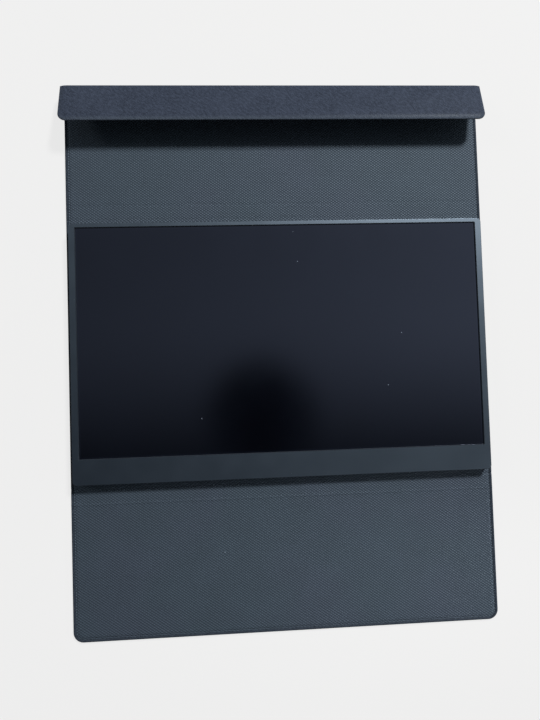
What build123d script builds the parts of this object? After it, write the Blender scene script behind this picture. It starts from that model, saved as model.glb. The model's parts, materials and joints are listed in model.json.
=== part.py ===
from build123d import *
import os

# Portable monitor in a folding cover, lying open on its back. Millimetres.
# The origin is the centre of the cover's back panel, on its underside. +X runs to the right as one
# looks at the screen, +Y towards the closing flap, and +Z out of the screen.

# Visible window and borders of the screen
window_width = 345.6
window_height = 195.0
side_border = 5.4
top_border = 3.4
chin = 21.3
window_corner = 0.8
monitor_corner = 3.6

# Layers of the cover
skin_thickness = 0.7
stiffener_thickness = 1.0
lining_thickness = 0.7
edge_weld = 2.4
crease_wall = 0.8
stiffener_gap = 0.2
edge_round = 0.35

# Creases: a round fold of leather lies on each axis, between two stiff leaves
crease_half_gap = 2.0
fold_radius = 1.1
fold_web = 0.7
fold_inset = 0.6

# Leaves of the cover
side_overhang = 4.1
crease_stand = 5.0
closing_clearance = 1.3
lower_panel_length = 114.2
door_gap = 15.3
strip_length = 11.0
strip_fold = 90.0
flap_length = 36.0
flap_fold = 73.5
panel_corner = 8.5
flap_corner = 7.0

# Walls of the monitor's casing
back_wall = 1.2
side_wall = 1.3
housing_round = 1.1
bezel_thickness = 1.0
bezel_round = 0.45
window_chamfer = 0.25
lip_gap = 0.1
lip_wall = 0.7
lip_depth = 1.6

# Display module, from its back sheet to the glass
tray_sheet = 0.3
tray_wall = 0.4
tray_side_margin = 2.6
tray_top_margin = 1.05
tray_bottom_margin = 8.5
sheet_gap = 0.2
reflector_thickness = 0.2
light_guide_thickness = 0.6
films_thickness = 0.6
cell_thickness = 1.0
cell_ledge = 1.0
tape_thickness = 0.3
tape_margin = 0.3
led_ribbon_width = 3.15
led_ribbon_thickness = 0.2
led_size = 3.0
led_depth = 0.8
led_height = 0.4
led_pitch = 8.4

# Sockets and the space behind the display module
usb_width = 8.94
usb_height = 3.26
usb_depth = 7.5
shell_wall = 0.3
shell_back = 0.8
usb_tongue_width = 6.7
tongue_thickness = 0.7
tongue_setback = 1.2
hdmi_width = 11.2
hdmi_height = 3.1
hdmi_depth = 7.5
hdmi_bevel = 0.9
hdmi_tongue_width = 8.6
port_setback = 0.3
port_gap = 0.15
port_lift = 0.24
port_headroom = 0.3
tab_length = 2.0
tab_reach = 0.9
tab_thickness = 0.3
tab_set_back = 4.75
usb_station = 18.0
usb_pitch = 16.0
hdmi_station = 54.0

# Headphone socket
plug_radius = 1.8
collar_radius = 2.5
collar_setback = 0.3
jack_width = 6.0
jack_height = 5.0
jack_depth = 12.5
jack_bore_depth = 13.0
jack_inset = 7.05
jack_tab_inset = 2.0

# Circuit boards
circuit_thickness = 0.8
standoff_height = 0.8
standoff_radius = 2.2
wall_to_board = 2.0
main_board_width = 79.0
main_board_depth = 76.0
main_board_inset = 17.85
notch_gap = 0.2
button_board_width = 13.0
button_board_reach = 16.0
driver_board_gap = 1.15
driver_board_depth = 5.4
driver_board_length = 194.0
driver_board_thickness = 0.6
flex_thickness = 0.2
flex_width = 26.0
flex_pitch = 46.0
flex_count = 4
flex_bond = 2.6
screening_size = 24.0
screening_wall = 0.2
screening_corner = 1.0
screening_column = 41.0
screening_row = 42.0
component_clearance = 0.5
chip_height = 0.9
controller_size = 14.0
controller_height = 1.1
memory_column = 63.0
memory_row = 30.0
memory_width = 9.0
memory_depth = 6.0
converter_row = 48.0
converter_width = 6.0
converter_depth = 5.0
coil_column = 21.0
coil_row = 28.0
coil_size = 5.0
small_coil_row = 16.0
small_coil_size = 4.0
regulator_column = 37.0
regulator_row = 14.0
clock_column = 19.0
clock_row = 54.0
clock_width = 5.0
clock_depth = 4.0
guard_row = 68.0
guard_column = 29.0
far_guard_column = 55.0
guard_width = 4.0
guard_depth = 3.0
guard_height = 0.8
connector_height = 1.1
connector_depth = 3.0
connector_margin = 1.0
connector_inset = 0.5
lead_connector_width = 4.0
ribbon_thickness = 0.2
ribbon_width = 8.0
ribbon_lead = 2.0
ribbon_slope = 4.0
ribbon_bend = 1.5
ribbon_stub = 1.0
ribbon_stub_bend = 0.6
button_ribbon_station = 58.0
panel_ribbon_inset = 6.1
wire_radius = 0.35
wire_pitch = 1.6
wire_bend = 2.0
speaker_lead_offset = 12.0
left_lead_inset = 6.1
board_screw_inset = 4.0
low_screw_shift = 20.0
button_screw_inset = 6.0
button_low_screw_inset = 15.6

# Keys on the left wall
key_height = 2.4
key_gap = 0.2
key_stand = 0.5
key_flange = 0.8
key_travel = 0.3
key_round = 0.25
power_key_width = 8.0
power_key_station = 97.85
power_flange_margin = 0.6
rocker_width = 16.0
rocker_station = 67.85
rocker_flange_margin = 1.0
rocker_switch_reach = 6.0
rocker_set_back = 0.4
stem_height = 1.2
stem_width = 1.6
pivot_radius = 0.5
pivot_gap = 0.06
pivot_inset = 0.6
pivot_post_width = 2.4
pivot_post_reach = 1.6
switch_set_back = 0.8
switch_width = 4.6
switch_depth = 2.0
switch_height = 1.6
plunger_depth = 0.3
plunger_width = 1.8
plunger_height = 0.8

# Loudspeakers in the chin
speaker_width = 40.0
speaker_depth = 8.5
speaker_height = 4.6
speaker_inset = 40.2
speaker_round = 0.6
cone_margin = 3.6
cone_depth = 2.1
gasket_thickness = 0.5
gasket_border = 1.2
screen_thickness = 0.2
slot_length = 2.6
slot_height = 1.3
slot_pitch = 3.8
slot_count = 9

# Screws
screw_radius = 0.95
screw_gap = 0.05
passage_radius = 1.1
sink_radius = 2.0
sink_head_radius = 1.8
sink_head_set = 0.1
screw_reach = 5.6
boss_radius = 1.9
boss_inset = 3.55
pedestal_height = 1.1
boss_gap = 0.1
boss_bore_end = 1.2
pan_radius = 1.7
pan_height = 1.0
pan_bite = 0.6
recess_length = 1.6
recess_width = 0.4
recess_depth = 0.4
inner_screw_spot = 60.0
outer_screw_gap = 8.0

# Magnets that hold the monitor in the cover and the flap on the lower panel
holding_spot_x = 60.0
holding_spot_y = 60.0
holding_magnet_width = 36.0
holding_magnet_depth = 14.0
holding_magnet_thickness = 0.8
holding_magnet_corner = 1.0
holding_plate_margin = 2.0
insert_corner = 0.45
metal_gap = 0.15
flap_magnet_width = 30.0
flap_magnet_depth = 8.0
flap_magnet_station = 20.0
flap_magnet_pitch = 96.0
flap_magnet_count = 4
lap_clearance = 0.4
strike_margin = 3.0

# Ribs that carry the display module
rib_width = 1.6
side_rib_inset = 7.4
middle_rib_x = 92.0
rib_gap = 4.0
top_rib_inset = 7.5
top_rib_end_inset = 25.4
top_rib_gap = 8.0
rest_pitch = 60.0
rest_inset = 3.0
rest_size = 4.0
driver_rest_pitch = 79.0

# Sizes worked out from the ones above
cover_thickness = skin_thickness + stiffener_thickness + lining_thickness
cover_middle = cover_thickness / 2
monitor_width = window_width + 2 * side_border
monitor_height = window_height + top_border + chin
window_y = (chin - top_border) / 2
service_depth = port_lift + usb_height + port_headroom
housing_floor = cover_thickness + back_wall
tray_level = housing_floor + service_depth
reflector_level = tray_level + tray_sheet
light_guide_level = reflector_level + reflector_thickness
films_level = light_guide_level + light_guide_thickness
cell_level = films_level + films_thickness
tape_level = cell_level + cell_thickness
bezel_level = tape_level + tape_thickness
screen_front = bezel_level + bezel_thickness
monitor_thickness = screen_front - cover_thickness
cover_width = monitor_width + 2 * side_overhang
back_length = monitor_height + 2 * crease_stand
spine_length = monitor_thickness + cover_thickness + closing_clearance
upper_panel_length = back_length - lower_panel_length - door_gap
wall_x = monitor_width / 2
inner_x = wall_x - side_wall
wall_y = monitor_height / 2
inner_y = wall_y - side_wall
circuit_level = housing_floor + standoff_height
circuit_top = circuit_level + circuit_thickness
board_edge = inner_x - wall_to_board
main_board_left = board_edge - main_board_width
main_board_low = main_board_inset - wall_y
main_board_high = main_board_low + main_board_depth
usb_low = main_board_low + usb_station
usb_spots = (usb_low, usb_low + usb_pitch)
hdmi_spot = main_board_low + hdmi_station
jack_spot = jack_inset - wall_y
jack_high = jack_spot + jack_width / 2
power_key_y = power_key_station - wall_y
rocker_y = rocker_station - wall_y
button_board_right = button_board_width - board_edge
button_board_low = jack_high + notch_gap
button_board_high = power_key_y + button_board_reach
port_z = housing_floor + port_lift + usb_height / 2
hdmi_z = housing_floor + port_lift + hdmi_height / 2
jack_z = housing_floor + jack_height / 2
key_z = circuit_top + switch_height / 2
tray_half_width = window_width / 2 + tray_side_margin
tray_top = window_y + window_height / 2 + tray_top_margin
tray_bottom = window_y - window_height / 2 - tray_bottom_margin
button_ribbon_y = main_board_low + button_ribbon_station
panel_ribbon_x = main_board_left + panel_ribbon_inset
connector_half = ribbon_width / 2 + connector_margin
driver_board_high = tray_bottom - driver_board_gap
driver_board_low = driver_board_high - driver_board_depth
driver_board_right = panel_ribbon_x + connector_half + connector_margin
driver_board_left = driver_board_right - driver_board_length
driver_middle = (driver_board_left + driver_board_right) / 2
driver_connector_low = driver_board_low + connector_margin
driver_connector_high = driver_connector_low + connector_depth
side_rib_x = tray_half_width - side_rib_inset
top_rib_y = tray_top - top_rib_inset
top_rib_length = 2 * (tray_half_width - top_rib_end_inset)
rib_low = button_board_high + rib_gap
rib_high = top_rib_y - top_rib_gap
rest_y = tray_bottom + rest_inset
rest_spots = (-2 * rest_pitch, -rest_pitch, 0, rest_pitch)
driver_rest_spots = (driver_middle - driver_rest_pitch, driver_middle, driver_middle + driver_rest_pitch)
speaker_spot = wall_x - speaker_inset
outer_screw_spot = speaker_spot - speaker_width / 2 - outer_screw_gap
housing_screw_spots = (-outer_screw_spot, -inner_screw_spot, 0, inner_screw_spot, outer_screw_spot)
main_board_screws = (
    (main_board_left + board_screw_inset, main_board_high - board_screw_inset),
    (board_edge - board_screw_inset, main_board_high - board_screw_inset),
    (board_edge - board_screw_inset, main_board_low + board_screw_inset),
    (main_board_left + board_screw_inset + low_screw_shift, main_board_low + board_screw_inset),
)
button_screw_x = button_board_right - button_board_width / 2
button_board_screws = (
    (button_screw_x, button_board_low + button_low_screw_inset),
    (button_screw_x, button_board_high - button_screw_inset),
)

os.makedirs("parts", exist_ok=True)


def finish(part, label):
    """Name a finished piece and write it to its own file."""
    part.label = label
    export_step(part, f"parts/{label}.step")


def block(x_range, y_range, z_range, mode=Mode.ADD):
    """Add a box that reaches from one value to another on each axis."""
    ranges = (x_range, y_range, z_range)
    middle = tuple((low + high) / 2 for low, high in ranges)
    sizes = tuple(high - low for low, high in ranges)
    with Locations(middle):
        Box(*sizes, mode=mode)


# Cover: leaves between creases

class Leaf:
    """A stiff stretch of the cover. Its plane stands on a crease axis, in the middle of the cover's
    thickness, with local y along the leaf and local z towards the lining."""

    def __init__(self, plane, near, far, corner=0.0, folds=()):
        self.plane = plane
        self.near = near
        self.far = far
        self.corner = corner
        self.folds = folds

    def face(self, height, side_inset=0.0, near_inset=0.0, far_inset=0.0):
        """Outline of the leaf at a height above its middle, drawn in from its edges."""
        width = cover_width - 2 * side_inset
        length = self.far - self.near - near_inset - far_inset
        with BuildSketch(self.plane.offset(height)) as outline:
            with Locations((0, self.near + near_inset)):
                Rectangle(width, length, align=(Align.CENTER, Align.MIN))
            if self.corner > side_inset:
                fillet(outline.vertices().group_by(Axis.Y)[-1], self.corner - side_inset)
        return outline.sketch

    def pocket(self, height, gap):
        """Space inside the turned edges, or a stiffener that is smaller than it by a gap."""
        far_wall = edge_weld if self.corner else crease_wall
        return self.face(height, edge_weld + gap, crease_wall + gap, far_wall + gap)

    def outer_edges(self, part, side):
        """Edges of the leaf's leather face (side 0) or lining face (side -1)."""
        upward = Axis(self.plane.origin, self.plane.z_dir)
        return part.faces().sort_by(upward)[side].edges()


def leather_skin(leaf):
    """Leather shell: a plate with its edges turned up round the stiffener."""
    with BuildPart() as skin:
        extrude(leaf.face(-cover_middle), amount=skin_thickness + stiffener_thickness)
        pocket_level = skin_thickness - cover_middle
        extrude(leaf.pocket(pocket_level, 0), amount=stiffener_thickness, mode=Mode.SUBTRACT)
        fillet(leaf.outer_edges(skin, 0), edge_round)
        if leaf.folds:
            add_folds(leaf)
    return skin.part


def add_folds(leaf):
    """Round folds of leather on a leaf's crease axes, each joined to it by a thin web."""
    section_plane = Plane(leaf.plane.origin, x_dir=leaf.plane.y_dir, z_dir=leaf.plane.x_dir)
    with BuildSketch(section_plane) as section:
        for station in leaf.folds:
            edge = min((leaf.near, leaf.far), key=lambda end: abs(end - station))
            with Locations((station, 0)):
                Circle(fold_radius)
            with Locations(((station + edge) / 2, 0)):
                Rectangle(abs(edge - station), fold_web)
    extrude(section.sketch, amount=cover_width / 2 - fold_inset, both=True)


def stiffener(leaf, inserts=()):
    """Board inside a leaf, with windows for the metal pieces that lie in it."""
    level = skin_thickness - cover_middle
    with BuildPart() as board:
        extrude(leaf.pocket(level, stiffener_gap), amount=stiffener_thickness)
        for spots, width, depth in inserts:
            with BuildSketch(leaf.plane.offset(level)) as windows:
                with Locations(*spots):
                    Rectangle(width + 2 * metal_gap, depth + 2 * metal_gap)
            extrude(windows.sketch, amount=stiffener_thickness, mode=Mode.SUBTRACT)
    return board.part


def woven_lining(leaf):
    """Lining bonded over the stiffener and the turned edges."""
    with BuildPart() as lining:
        extrude(leaf.face(cover_middle - lining_thickness), amount=lining_thickness)
        fillet(leaf.outer_edges(lining, -1), edge_round)
    return lining.part


def metal_inserts(leaf, spots, width, depth):
    """Flat metal pieces that lie in the windows of a leaf's stiffener."""
    with BuildPart() as inserts:
        with BuildSketch(leaf.plane.offset(skin_thickness - cover_middle)):
            with Locations(*spots):
                RectangleRounded(width, depth, insert_corner)
        extrude(amount=stiffener_thickness)
    return inserts.part


upper_plane = Plane(origin=(0, 0, cover_middle))
lower_plane = Plane(origin=(0, 0, cover_middle), x_dir=(-1, 0, 0), z_dir=(0, 0, 1))
spine_station = back_length / 2
panel_station = spine_station + spine_length
strip_station = panel_station + upper_panel_length


def flat_leaf_plane(base, station):
    """Plane of a leaf that lies flat, on the crease at a station of the base plane."""
    return Plane(base.from_local_coords((0, station, 0)), x_dir=base.x_dir, z_dir=base.z_dir)


strip_plane = flat_leaf_plane(upper_plane, strip_station).rotated((strip_fold, 0, 0))
flap_plane = flat_leaf_plane(strip_plane, strip_length).rotated((flap_fold, 0, 0))

spine_end = spine_length - crease_half_gap
back_edge = spine_station - crease_half_gap
back_leaf = Leaf(upper_plane, -back_edge, back_edge)
lower_spine_leaf = Leaf(
    flat_leaf_plane(lower_plane, spine_station), crease_half_gap, spine_end, folds=(0, spine_length)
)
upper_spine_leaf = Leaf(
    flat_leaf_plane(upper_plane, spine_station), crease_half_gap, spine_end, folds=(0, spine_length)
)
lower_leaf = Leaf(
    flat_leaf_plane(lower_plane, panel_station), crease_half_gap, lower_panel_length, panel_corner
)
upper_leaf = Leaf(
    flat_leaf_plane(upper_plane, panel_station),
    crease_half_gap,
    upper_panel_length - crease_half_gap,
)
strip_leaf = Leaf(
    strip_plane, crease_half_gap, strip_length - crease_half_gap, folds=(0, strip_length)
)
flap_leaf = Leaf(flap_plane, crease_half_gap, flap_length, flap_corner)

# Metal pieces inside the leaves. The strike plates lie where the flap's magnets come down when
# the cover is closed over the screen.
holding_spots = tuple(
    (x, y) for x in (-holding_spot_x, holding_spot_x) for y in (-holding_spot_y, holding_spot_y)
)
plate_width = holding_magnet_width + 2 * holding_plate_margin
plate_depth = holding_magnet_depth + 2 * holding_plate_margin
magnet_columns = tuple(
    (index - (flap_magnet_count - 1) / 2) * flap_magnet_pitch for index in range(flap_magnet_count)
)
flap_magnet_spots = tuple((x, flap_magnet_station) for x in magnet_columns)
strip_reach = (strip_length**2 - (cover_thickness + lap_clearance) ** 2) ** 0.5
strike_station = back_length - upper_panel_length - strip_reach - flap_magnet_station
strike_spots = tuple((x, strike_station) for x in magnet_columns)
strike_width = flap_magnet_width + 2 * strike_margin
strike_depth = flap_magnet_depth + 2 * strike_margin

finish(leather_skin(back_leaf), "back_panel_skin")
finish(stiffener(back_leaf, [(holding_spots, plate_width, plate_depth)]), "back_panel_board")
finish(woven_lining(back_leaf), "back_panel_lining")
finish(metal_inserts(back_leaf, holding_spots, plate_width, plate_depth), "back_panel_plates")

for side, spine_leaf in (("lower", lower_spine_leaf), ("upper", upper_spine_leaf)):
    finish(leather_skin(spine_leaf), f"{side}_spine_skin")
    finish(stiffener(spine_leaf), f"{side}_spine_board")
    finish(woven_lining(spine_leaf), f"{side}_spine_lining")

finish(leather_skin(lower_leaf), "lower_panel_skin")
finish(stiffener(lower_leaf, [(strike_spots, strike_width, strike_depth)]), "lower_panel_board")
finish(woven_lining(lower_leaf), "lower_panel_lining")
finish(metal_inserts(lower_leaf, strike_spots, strike_width, strike_depth), "lower_panel_plates")

finish(leather_skin(upper_leaf), "upper_panel_skin")
finish(stiffener(upper_leaf), "upper_panel_board")
finish(woven_lining(upper_leaf), "upper_panel_lining")

finish(leather_skin(flap_leaf), "closing_flap_skin")
finish(
    stiffener(flap_leaf, [(flap_magnet_spots, flap_magnet_width, flap_magnet_depth)]),
    "closing_flap_board",
)
finish(woven_lining(flap_leaf), "closing_flap_lining")
finish(
    metal_inserts(flap_leaf, flap_magnet_spots, flap_magnet_width, flap_magnet_depth),
    "flap_magnets",
)

# The strip between the upper panel and the flap is soft: leather and lining with no board
with BuildPart() as flap_strip_skin:
    extrude(strip_leaf.face(-skin_thickness), amount=skin_thickness)
    fillet(strip_leaf.outer_edges(flap_strip_skin, 0), edge_round)
    add_folds(strip_leaf)
finish(flap_strip_skin.part, "flap_strip_skin")

with BuildPart() as flap_strip_lining:
    extrude(strip_leaf.face(0), amount=lining_thickness)
    fillet(strip_leaf.outer_edges(flap_strip_lining, -1), edge_round)
finish(flap_strip_lining.part, "flap_strip_lining")


# Monitor: openings in the walls are drawn on planes that face along X or Y

def wall_plane(x, y, z):
    """Plane across X, with local x along +Y and local y along +Z."""
    return Plane(origin=(x, y, z), x_dir=(0, 1, 0), z_dir=(1, 0, 0))


def usb_outline(grow):
    """Rounded section of a USB-C socket, larger by a gap all round."""
    SlotOverall(usb_width + 2 * grow, usb_height + 2 * grow)


def hdmi_outline(grow):
    """Section of a mini HDMI socket, with its lower corners bevelled."""
    width = hdmi_width + 2 * grow
    height = hdmi_height + 2 * grow
    bevel = hdmi_bevel
    Polygon(
        (-width / 2, height / 2),
        (-width / 2, bevel - height / 2),
        (bevel - width / 2, -height / 2),
        (width / 2 - bevel, -height / 2),
        (width / 2, bevel - height / 2),
        (width / 2, height / 2),
        align=None,
    )


port_mouth = wall_x - port_setback
port_outlines = [(spot, port_z, usb_outline) for spot in usb_spots]
port_outlines.append((hdmi_spot, hdmi_z, hdmi_outline))
pivot_x = pivot_inset - inner_x
boss_y = boss_inset - wall_y
boss_spots = tuple((x, boss_y) for x in housing_screw_spots)
pedestal_top = housing_floor + pedestal_height
board_screw_spots = main_board_screws + button_board_screws
driver_level = cell_level - flex_thickness - driver_board_thickness
speaker_z = housing_floor + speaker_height / 2
speaker_sides = (-speaker_spot, speaker_spot)

with BuildPart() as rear_housing:
    with BuildSketch(Plane.XY.offset(cover_thickness)):
        RectangleRounded(monitor_width, monitor_height, monitor_corner)
    extrude(amount=bezel_level - cover_thickness)
    fillet(rear_housing.faces().sort_by(Axis.Z)[0].edges(), housing_round)
    with BuildSketch(Plane.XY.offset(housing_floor)):
        RectangleRounded(2 * inner_x, 2 * inner_y, monitor_corner - side_wall)
    extrude(amount=bezel_level - housing_floor, mode=Mode.SUBTRACT)

    # Ribs and rests that carry the display module
    with BuildSketch(Plane.XY.offset(housing_floor)):
        with Locations((0, top_rib_y)):
            Rectangle(top_rib_length, rib_width)
        with Locations(*((x, rib_low) for x in (-side_rib_x, -middle_rib_x, middle_rib_x, side_rib_x))):
            Rectangle(rib_width, rib_high - rib_low, align=(Align.CENTER, Align.MIN))
        with Locations(*((x, rest_y) for x in rest_spots)):
            Rectangle(rest_size, rib_width)
    extrude(amount=service_depth)

    # Rests under the driver board
    with BuildSketch(Plane.XY.offset(housing_floor)):
        with Locations(*((x, (driver_board_low + driver_board_high) / 2) for x in driver_rest_spots)):
            Rectangle(rest_size, rib_width)
    extrude(amount=driver_level - housing_floor)

    # Standoffs for the circuit boards, and pedestals that meet the bezel's bosses
    with BuildSketch(Plane.XY.offset(housing_floor)):
        with Locations(*board_screw_spots):
            Circle(standoff_radius)
    extrude(amount=standoff_height)
    with BuildSketch(Plane.XY.offset(housing_floor)):
        with Locations(*boss_spots):
            Circle(boss_radius)
    extrude(amount=pedestal_height)
    with BuildSketch(Plane.XY.offset(housing_floor - pan_bite)):
        with Locations(*board_screw_spots):
            Circle(screw_radius + screw_gap)
    extrude(amount=pan_bite + standoff_height, mode=Mode.SUBTRACT)
    with Locations(*(Plane((x, y, cover_thickness), z_dir=(0, 0, -1)) for x, y in boss_spots)):
        CounterSinkHole(passage_radius, sink_radius, counter_sink_angle=90)

    # Post that holds the rocker's pivot pin
    with BuildSketch(Plane.XY.offset(housing_floor)):
        with Locations((-inner_x, rocker_y)):
            Rectangle(pivot_post_reach, pivot_post_width, align=(Align.MIN, Align.CENTER))
    extrude(amount=standoff_height)
    with BuildSketch(Plane.XY.offset(housing_floor - pan_bite)):
        with Locations((pivot_x, rocker_y)):
            Circle(pivot_radius + pivot_gap)
    extrude(amount=pan_bite + standoff_height, mode=Mode.SUBTRACT)

    # Openings for the sockets on the right
    for spot, level, outline in port_outlines:
        with BuildSketch(wall_plane(inner_x, spot, level)):
            outline(port_gap)
        extrude(amount=side_wall, mode=Mode.SUBTRACT)

    # Openings for the headphone socket and the keys on the left
    with BuildSketch(wall_plane(-wall_x, jack_spot, jack_z)):
        Circle(collar_radius + port_gap)
    extrude(amount=side_wall, mode=Mode.SUBTRACT)
    for spot, width in ((power_key_y, power_key_width), (rocker_y, rocker_width)):
        with BuildSketch(wall_plane(-wall_x, spot, key_z)):
            SlotOverall(width + 2 * key_gap, key_height + 2 * key_gap)
        extrude(amount=side_wall, mode=Mode.SUBTRACT)

    # Slots in front of the loudspeakers
    for side in speaker_sides:
        with BuildSketch(Plane((side, -wall_y, speaker_z), x_dir=(1, 0, 0), z_dir=(0, -1, 0))):
            with GridLocations(slot_pitch, 0, slot_count, 1):
                SlotOverall(slot_length, slot_height)
        extrude(amount=-side_wall, mode=Mode.SUBTRACT)
finish(rear_housing.part, "rear_housing")

with BuildPart() as front_bezel:
    with BuildSketch(Plane.XY.offset(bezel_level)):
        RectangleRounded(monitor_width, monitor_height, monitor_corner)
    extrude(amount=bezel_thickness)
    fillet(front_bezel.faces().sort_by(Axis.Z)[-1].edges(), bezel_round)
    with BuildSketch(Plane.XY.offset(bezel_level)):
        with Locations((0, window_y)):
            RectangleRounded(window_width, window_height, window_corner)
    extrude(amount=bezel_thickness, mode=Mode.SUBTRACT)
    window_rim = front_bezel.faces().sort_by(Axis.Z)[-1].inner_wires()[0].edges()
    chamfer(window_rim, window_chamfer)

    # Lip that locates the bezel inside the housing's wall
    lip_corner = monitor_corner - side_wall - lip_gap
    with BuildSketch(Plane.XY.offset(bezel_level)):
        RectangleRounded(2 * (inner_x - lip_gap), 2 * (inner_y - lip_gap), lip_corner)
        RectangleRounded(
            2 * (inner_x - lip_gap - lip_wall),
            2 * (inner_y - lip_gap - lip_wall),
            lip_corner - lip_wall,
            mode=Mode.SUBTRACT,
        )
    extrude(amount=-lip_depth)

    # Bosses for the housing screws
    boss_low = pedestal_top + boss_gap
    with BuildSketch(Plane.XY.offset(boss_low)):
        with Locations(*boss_spots):
            Circle(boss_radius)
    extrude(amount=bezel_level - boss_low)
    with BuildSketch(Plane.XY.offset(boss_low)):
        with Locations(*boss_spots):
            Circle(screw_radius + screw_gap)
    extrude(amount=bezel_level - boss_low - boss_bore_end, mode=Mode.SUBTRACT)
finish(front_bezel.part, "front_bezel")


def sheet_part(x_half, y_range, z_low, thickness):
    """Flat sheet, centred across the monitor."""
    with BuildPart() as sheet:
        block((-x_half, x_half), y_range, (z_low, z_low + thickness))
    return sheet.part


# Display module

with BuildPart() as panel_tray:
    block((-tray_half_width, tray_half_width), (tray_bottom, tray_top), (tray_level, cell_level))
    block(
        (tray_wall - tray_half_width, tray_half_width - tray_wall),
        (tray_bottom + tray_wall, tray_top - tray_wall),
        (reflector_level, cell_level),
        mode=Mode.SUBTRACT,
    )
finish(panel_tray.part, "panel_tray")

sheet_half = tray_half_width - tray_wall - sheet_gap
sheet_low = tray_bottom + tray_wall + sheet_gap
sheet_high = tray_top - tray_wall - sheet_gap
guide_low = sheet_low + led_ribbon_width + sheet_gap
finish(
    sheet_part(sheet_half, (sheet_low, sheet_high), reflector_level, reflector_thickness),
    "reflector_sheet",
)
finish(
    sheet_part(sheet_half, (guide_low, sheet_high), light_guide_level, light_guide_thickness),
    "light_guide",
)
finish(
    sheet_part(sheet_half, (sheet_low, sheet_high), films_level, films_thickness),
    "diffuser_films",
)
finish(
    sheet_part(tray_half_width, (tray_bottom - cell_ledge, tray_top), cell_level, cell_thickness),
    "display_glass",
)

with BuildPart() as led_strip:
    block(
        (-sheet_half, sheet_half),
        (sheet_low, sheet_low + led_ribbon_width),
        (light_guide_level, light_guide_level + led_ribbon_thickness),
    )
    led_y = sheet_low + led_ribbon_width - led_depth / 2
    led_count = int(2 * sheet_half / led_pitch)
    with BuildSketch(Plane.XY.offset(light_guide_level + led_ribbon_thickness)):
        with Locations((0, led_y)):
            with GridLocations(led_pitch, 0, led_count, 1):
                Rectangle(led_size, led_depth)
    extrude(amount=led_height)
finish(led_strip.part, "led_strip")

with BuildPart() as bezel_tape:
    tape_low = tray_bottom - cell_ledge + tape_margin
    tape_high = tray_top - tape_margin
    tape_half = tray_half_width - tape_margin
    block((-tape_half, tape_half), (tape_low, tape_high), (tape_level, bezel_level))
    block(
        (-window_width / 2 - tape_margin, window_width / 2 + tape_margin),
        (window_y - window_height / 2 - tape_margin, window_y + window_height / 2 + tape_margin),
        (tape_level, bezel_level),
        mode=Mode.SUBTRACT,
    )
finish(bezel_tape.part, "bezel_tape")

with BuildPart() as driver_board:
    block(
        (driver_board_left, driver_board_right),
        (driver_board_low, driver_board_high),
        (driver_level, driver_level + driver_board_thickness),
    )
    block(
        (panel_ribbon_x - connector_half, panel_ribbon_x + connector_half),
        (driver_connector_low, driver_connector_high),
        (driver_level - connector_height, driver_level),
    )
finish(driver_board.part, "driver_board")

with BuildPart() as panel_flexes:
    flex_low = driver_board_high - flex_bond
    with BuildSketch(Plane.XY.offset(driver_level + driver_board_thickness)):
        with Locations((driver_middle, flex_low)):
            with GridLocations(flex_pitch, 0, flex_count, 1):
                Rectangle(flex_width, tray_bottom - flex_low, align=(Align.CENTER, Align.MIN))
    extrude(amount=flex_thickness)
finish(panel_flexes.part, "panel_flexes")

# Circuit boards and sockets

with BuildPart() as main_board:
    block(
        (main_board_left, board_edge),
        (main_board_low, main_board_high),
        (circuit_level, circuit_top),
    )
    for spot, level, outline in port_outlines:
        width = hdmi_width if outline is hdmi_outline else usb_width
        depth = hdmi_depth if outline is hdmi_outline else usb_depth
        block(
            (port_mouth - depth - notch_gap, board_edge),
            (spot - width / 2 - notch_gap, spot + width / 2 + notch_gap),
            (circuit_level, circuit_top),
            mode=Mode.SUBTRACT,
        )
    with BuildSketch(Plane.XY.offset(circuit_level)):
        with Locations(*main_board_screws):
            Circle(passage_radius)
    extrude(amount=circuit_thickness, mode=Mode.SUBTRACT)
finish(main_board.part, "main_board")


def socket_shell(outline, spot, level, width, depth):
    """Metal socket shell with a closed back and a soldering tab on each side of the board."""
    with BuildSketch(wall_plane(port_mouth, spot, level)) as outside:
        outline(0)
    extrude(outside.sketch, amount=-depth)
    with BuildSketch(wall_plane(port_mouth, spot, level)) as inside:
        outline(-shell_wall)
    extrude(inside.sketch, amount=shell_back - depth, mode=Mode.SUBTRACT)
    tab_middle = port_mouth - tab_set_back
    for side in (-1, 1):
        edge = spot + side * (width / 2 - shell_wall / 2)
        tip = spot + side * (width / 2 + tab_reach)
        block(
            (tab_middle - tab_length / 2, tab_middle + tab_length / 2),
            (min(edge, tip), max(edge, tip)),
            (circuit_top, circuit_top + tab_thickness),
        )


with BuildPart() as usb_c_sockets:
    for spot in usb_spots:
        socket_shell(usb_outline, spot, port_z, usb_width, usb_depth)
finish(usb_c_sockets.part, "usb_c_sockets")

with BuildPart() as mini_hdmi_socket:
    socket_shell(hdmi_outline, hdmi_spot, hdmi_z, hdmi_width, hdmi_depth)
finish(mini_hdmi_socket.part, "mini_hdmi_socket")

with BuildPart() as socket_tongues:
    for spot, level, outline in port_outlines:
        is_hdmi = outline is hdmi_outline
        width = hdmi_tongue_width if is_hdmi else usb_tongue_width
        back = port_mouth - (hdmi_depth if is_hdmi else usb_depth) + shell_back
        block(
            (back, port_mouth - tongue_setback),
            (spot - width / 2, spot + width / 2),
            (level - tongue_thickness / 2, level + tongue_thickness / 2),
        )
finish(socket_tongues.part, "socket_tongues")

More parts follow.
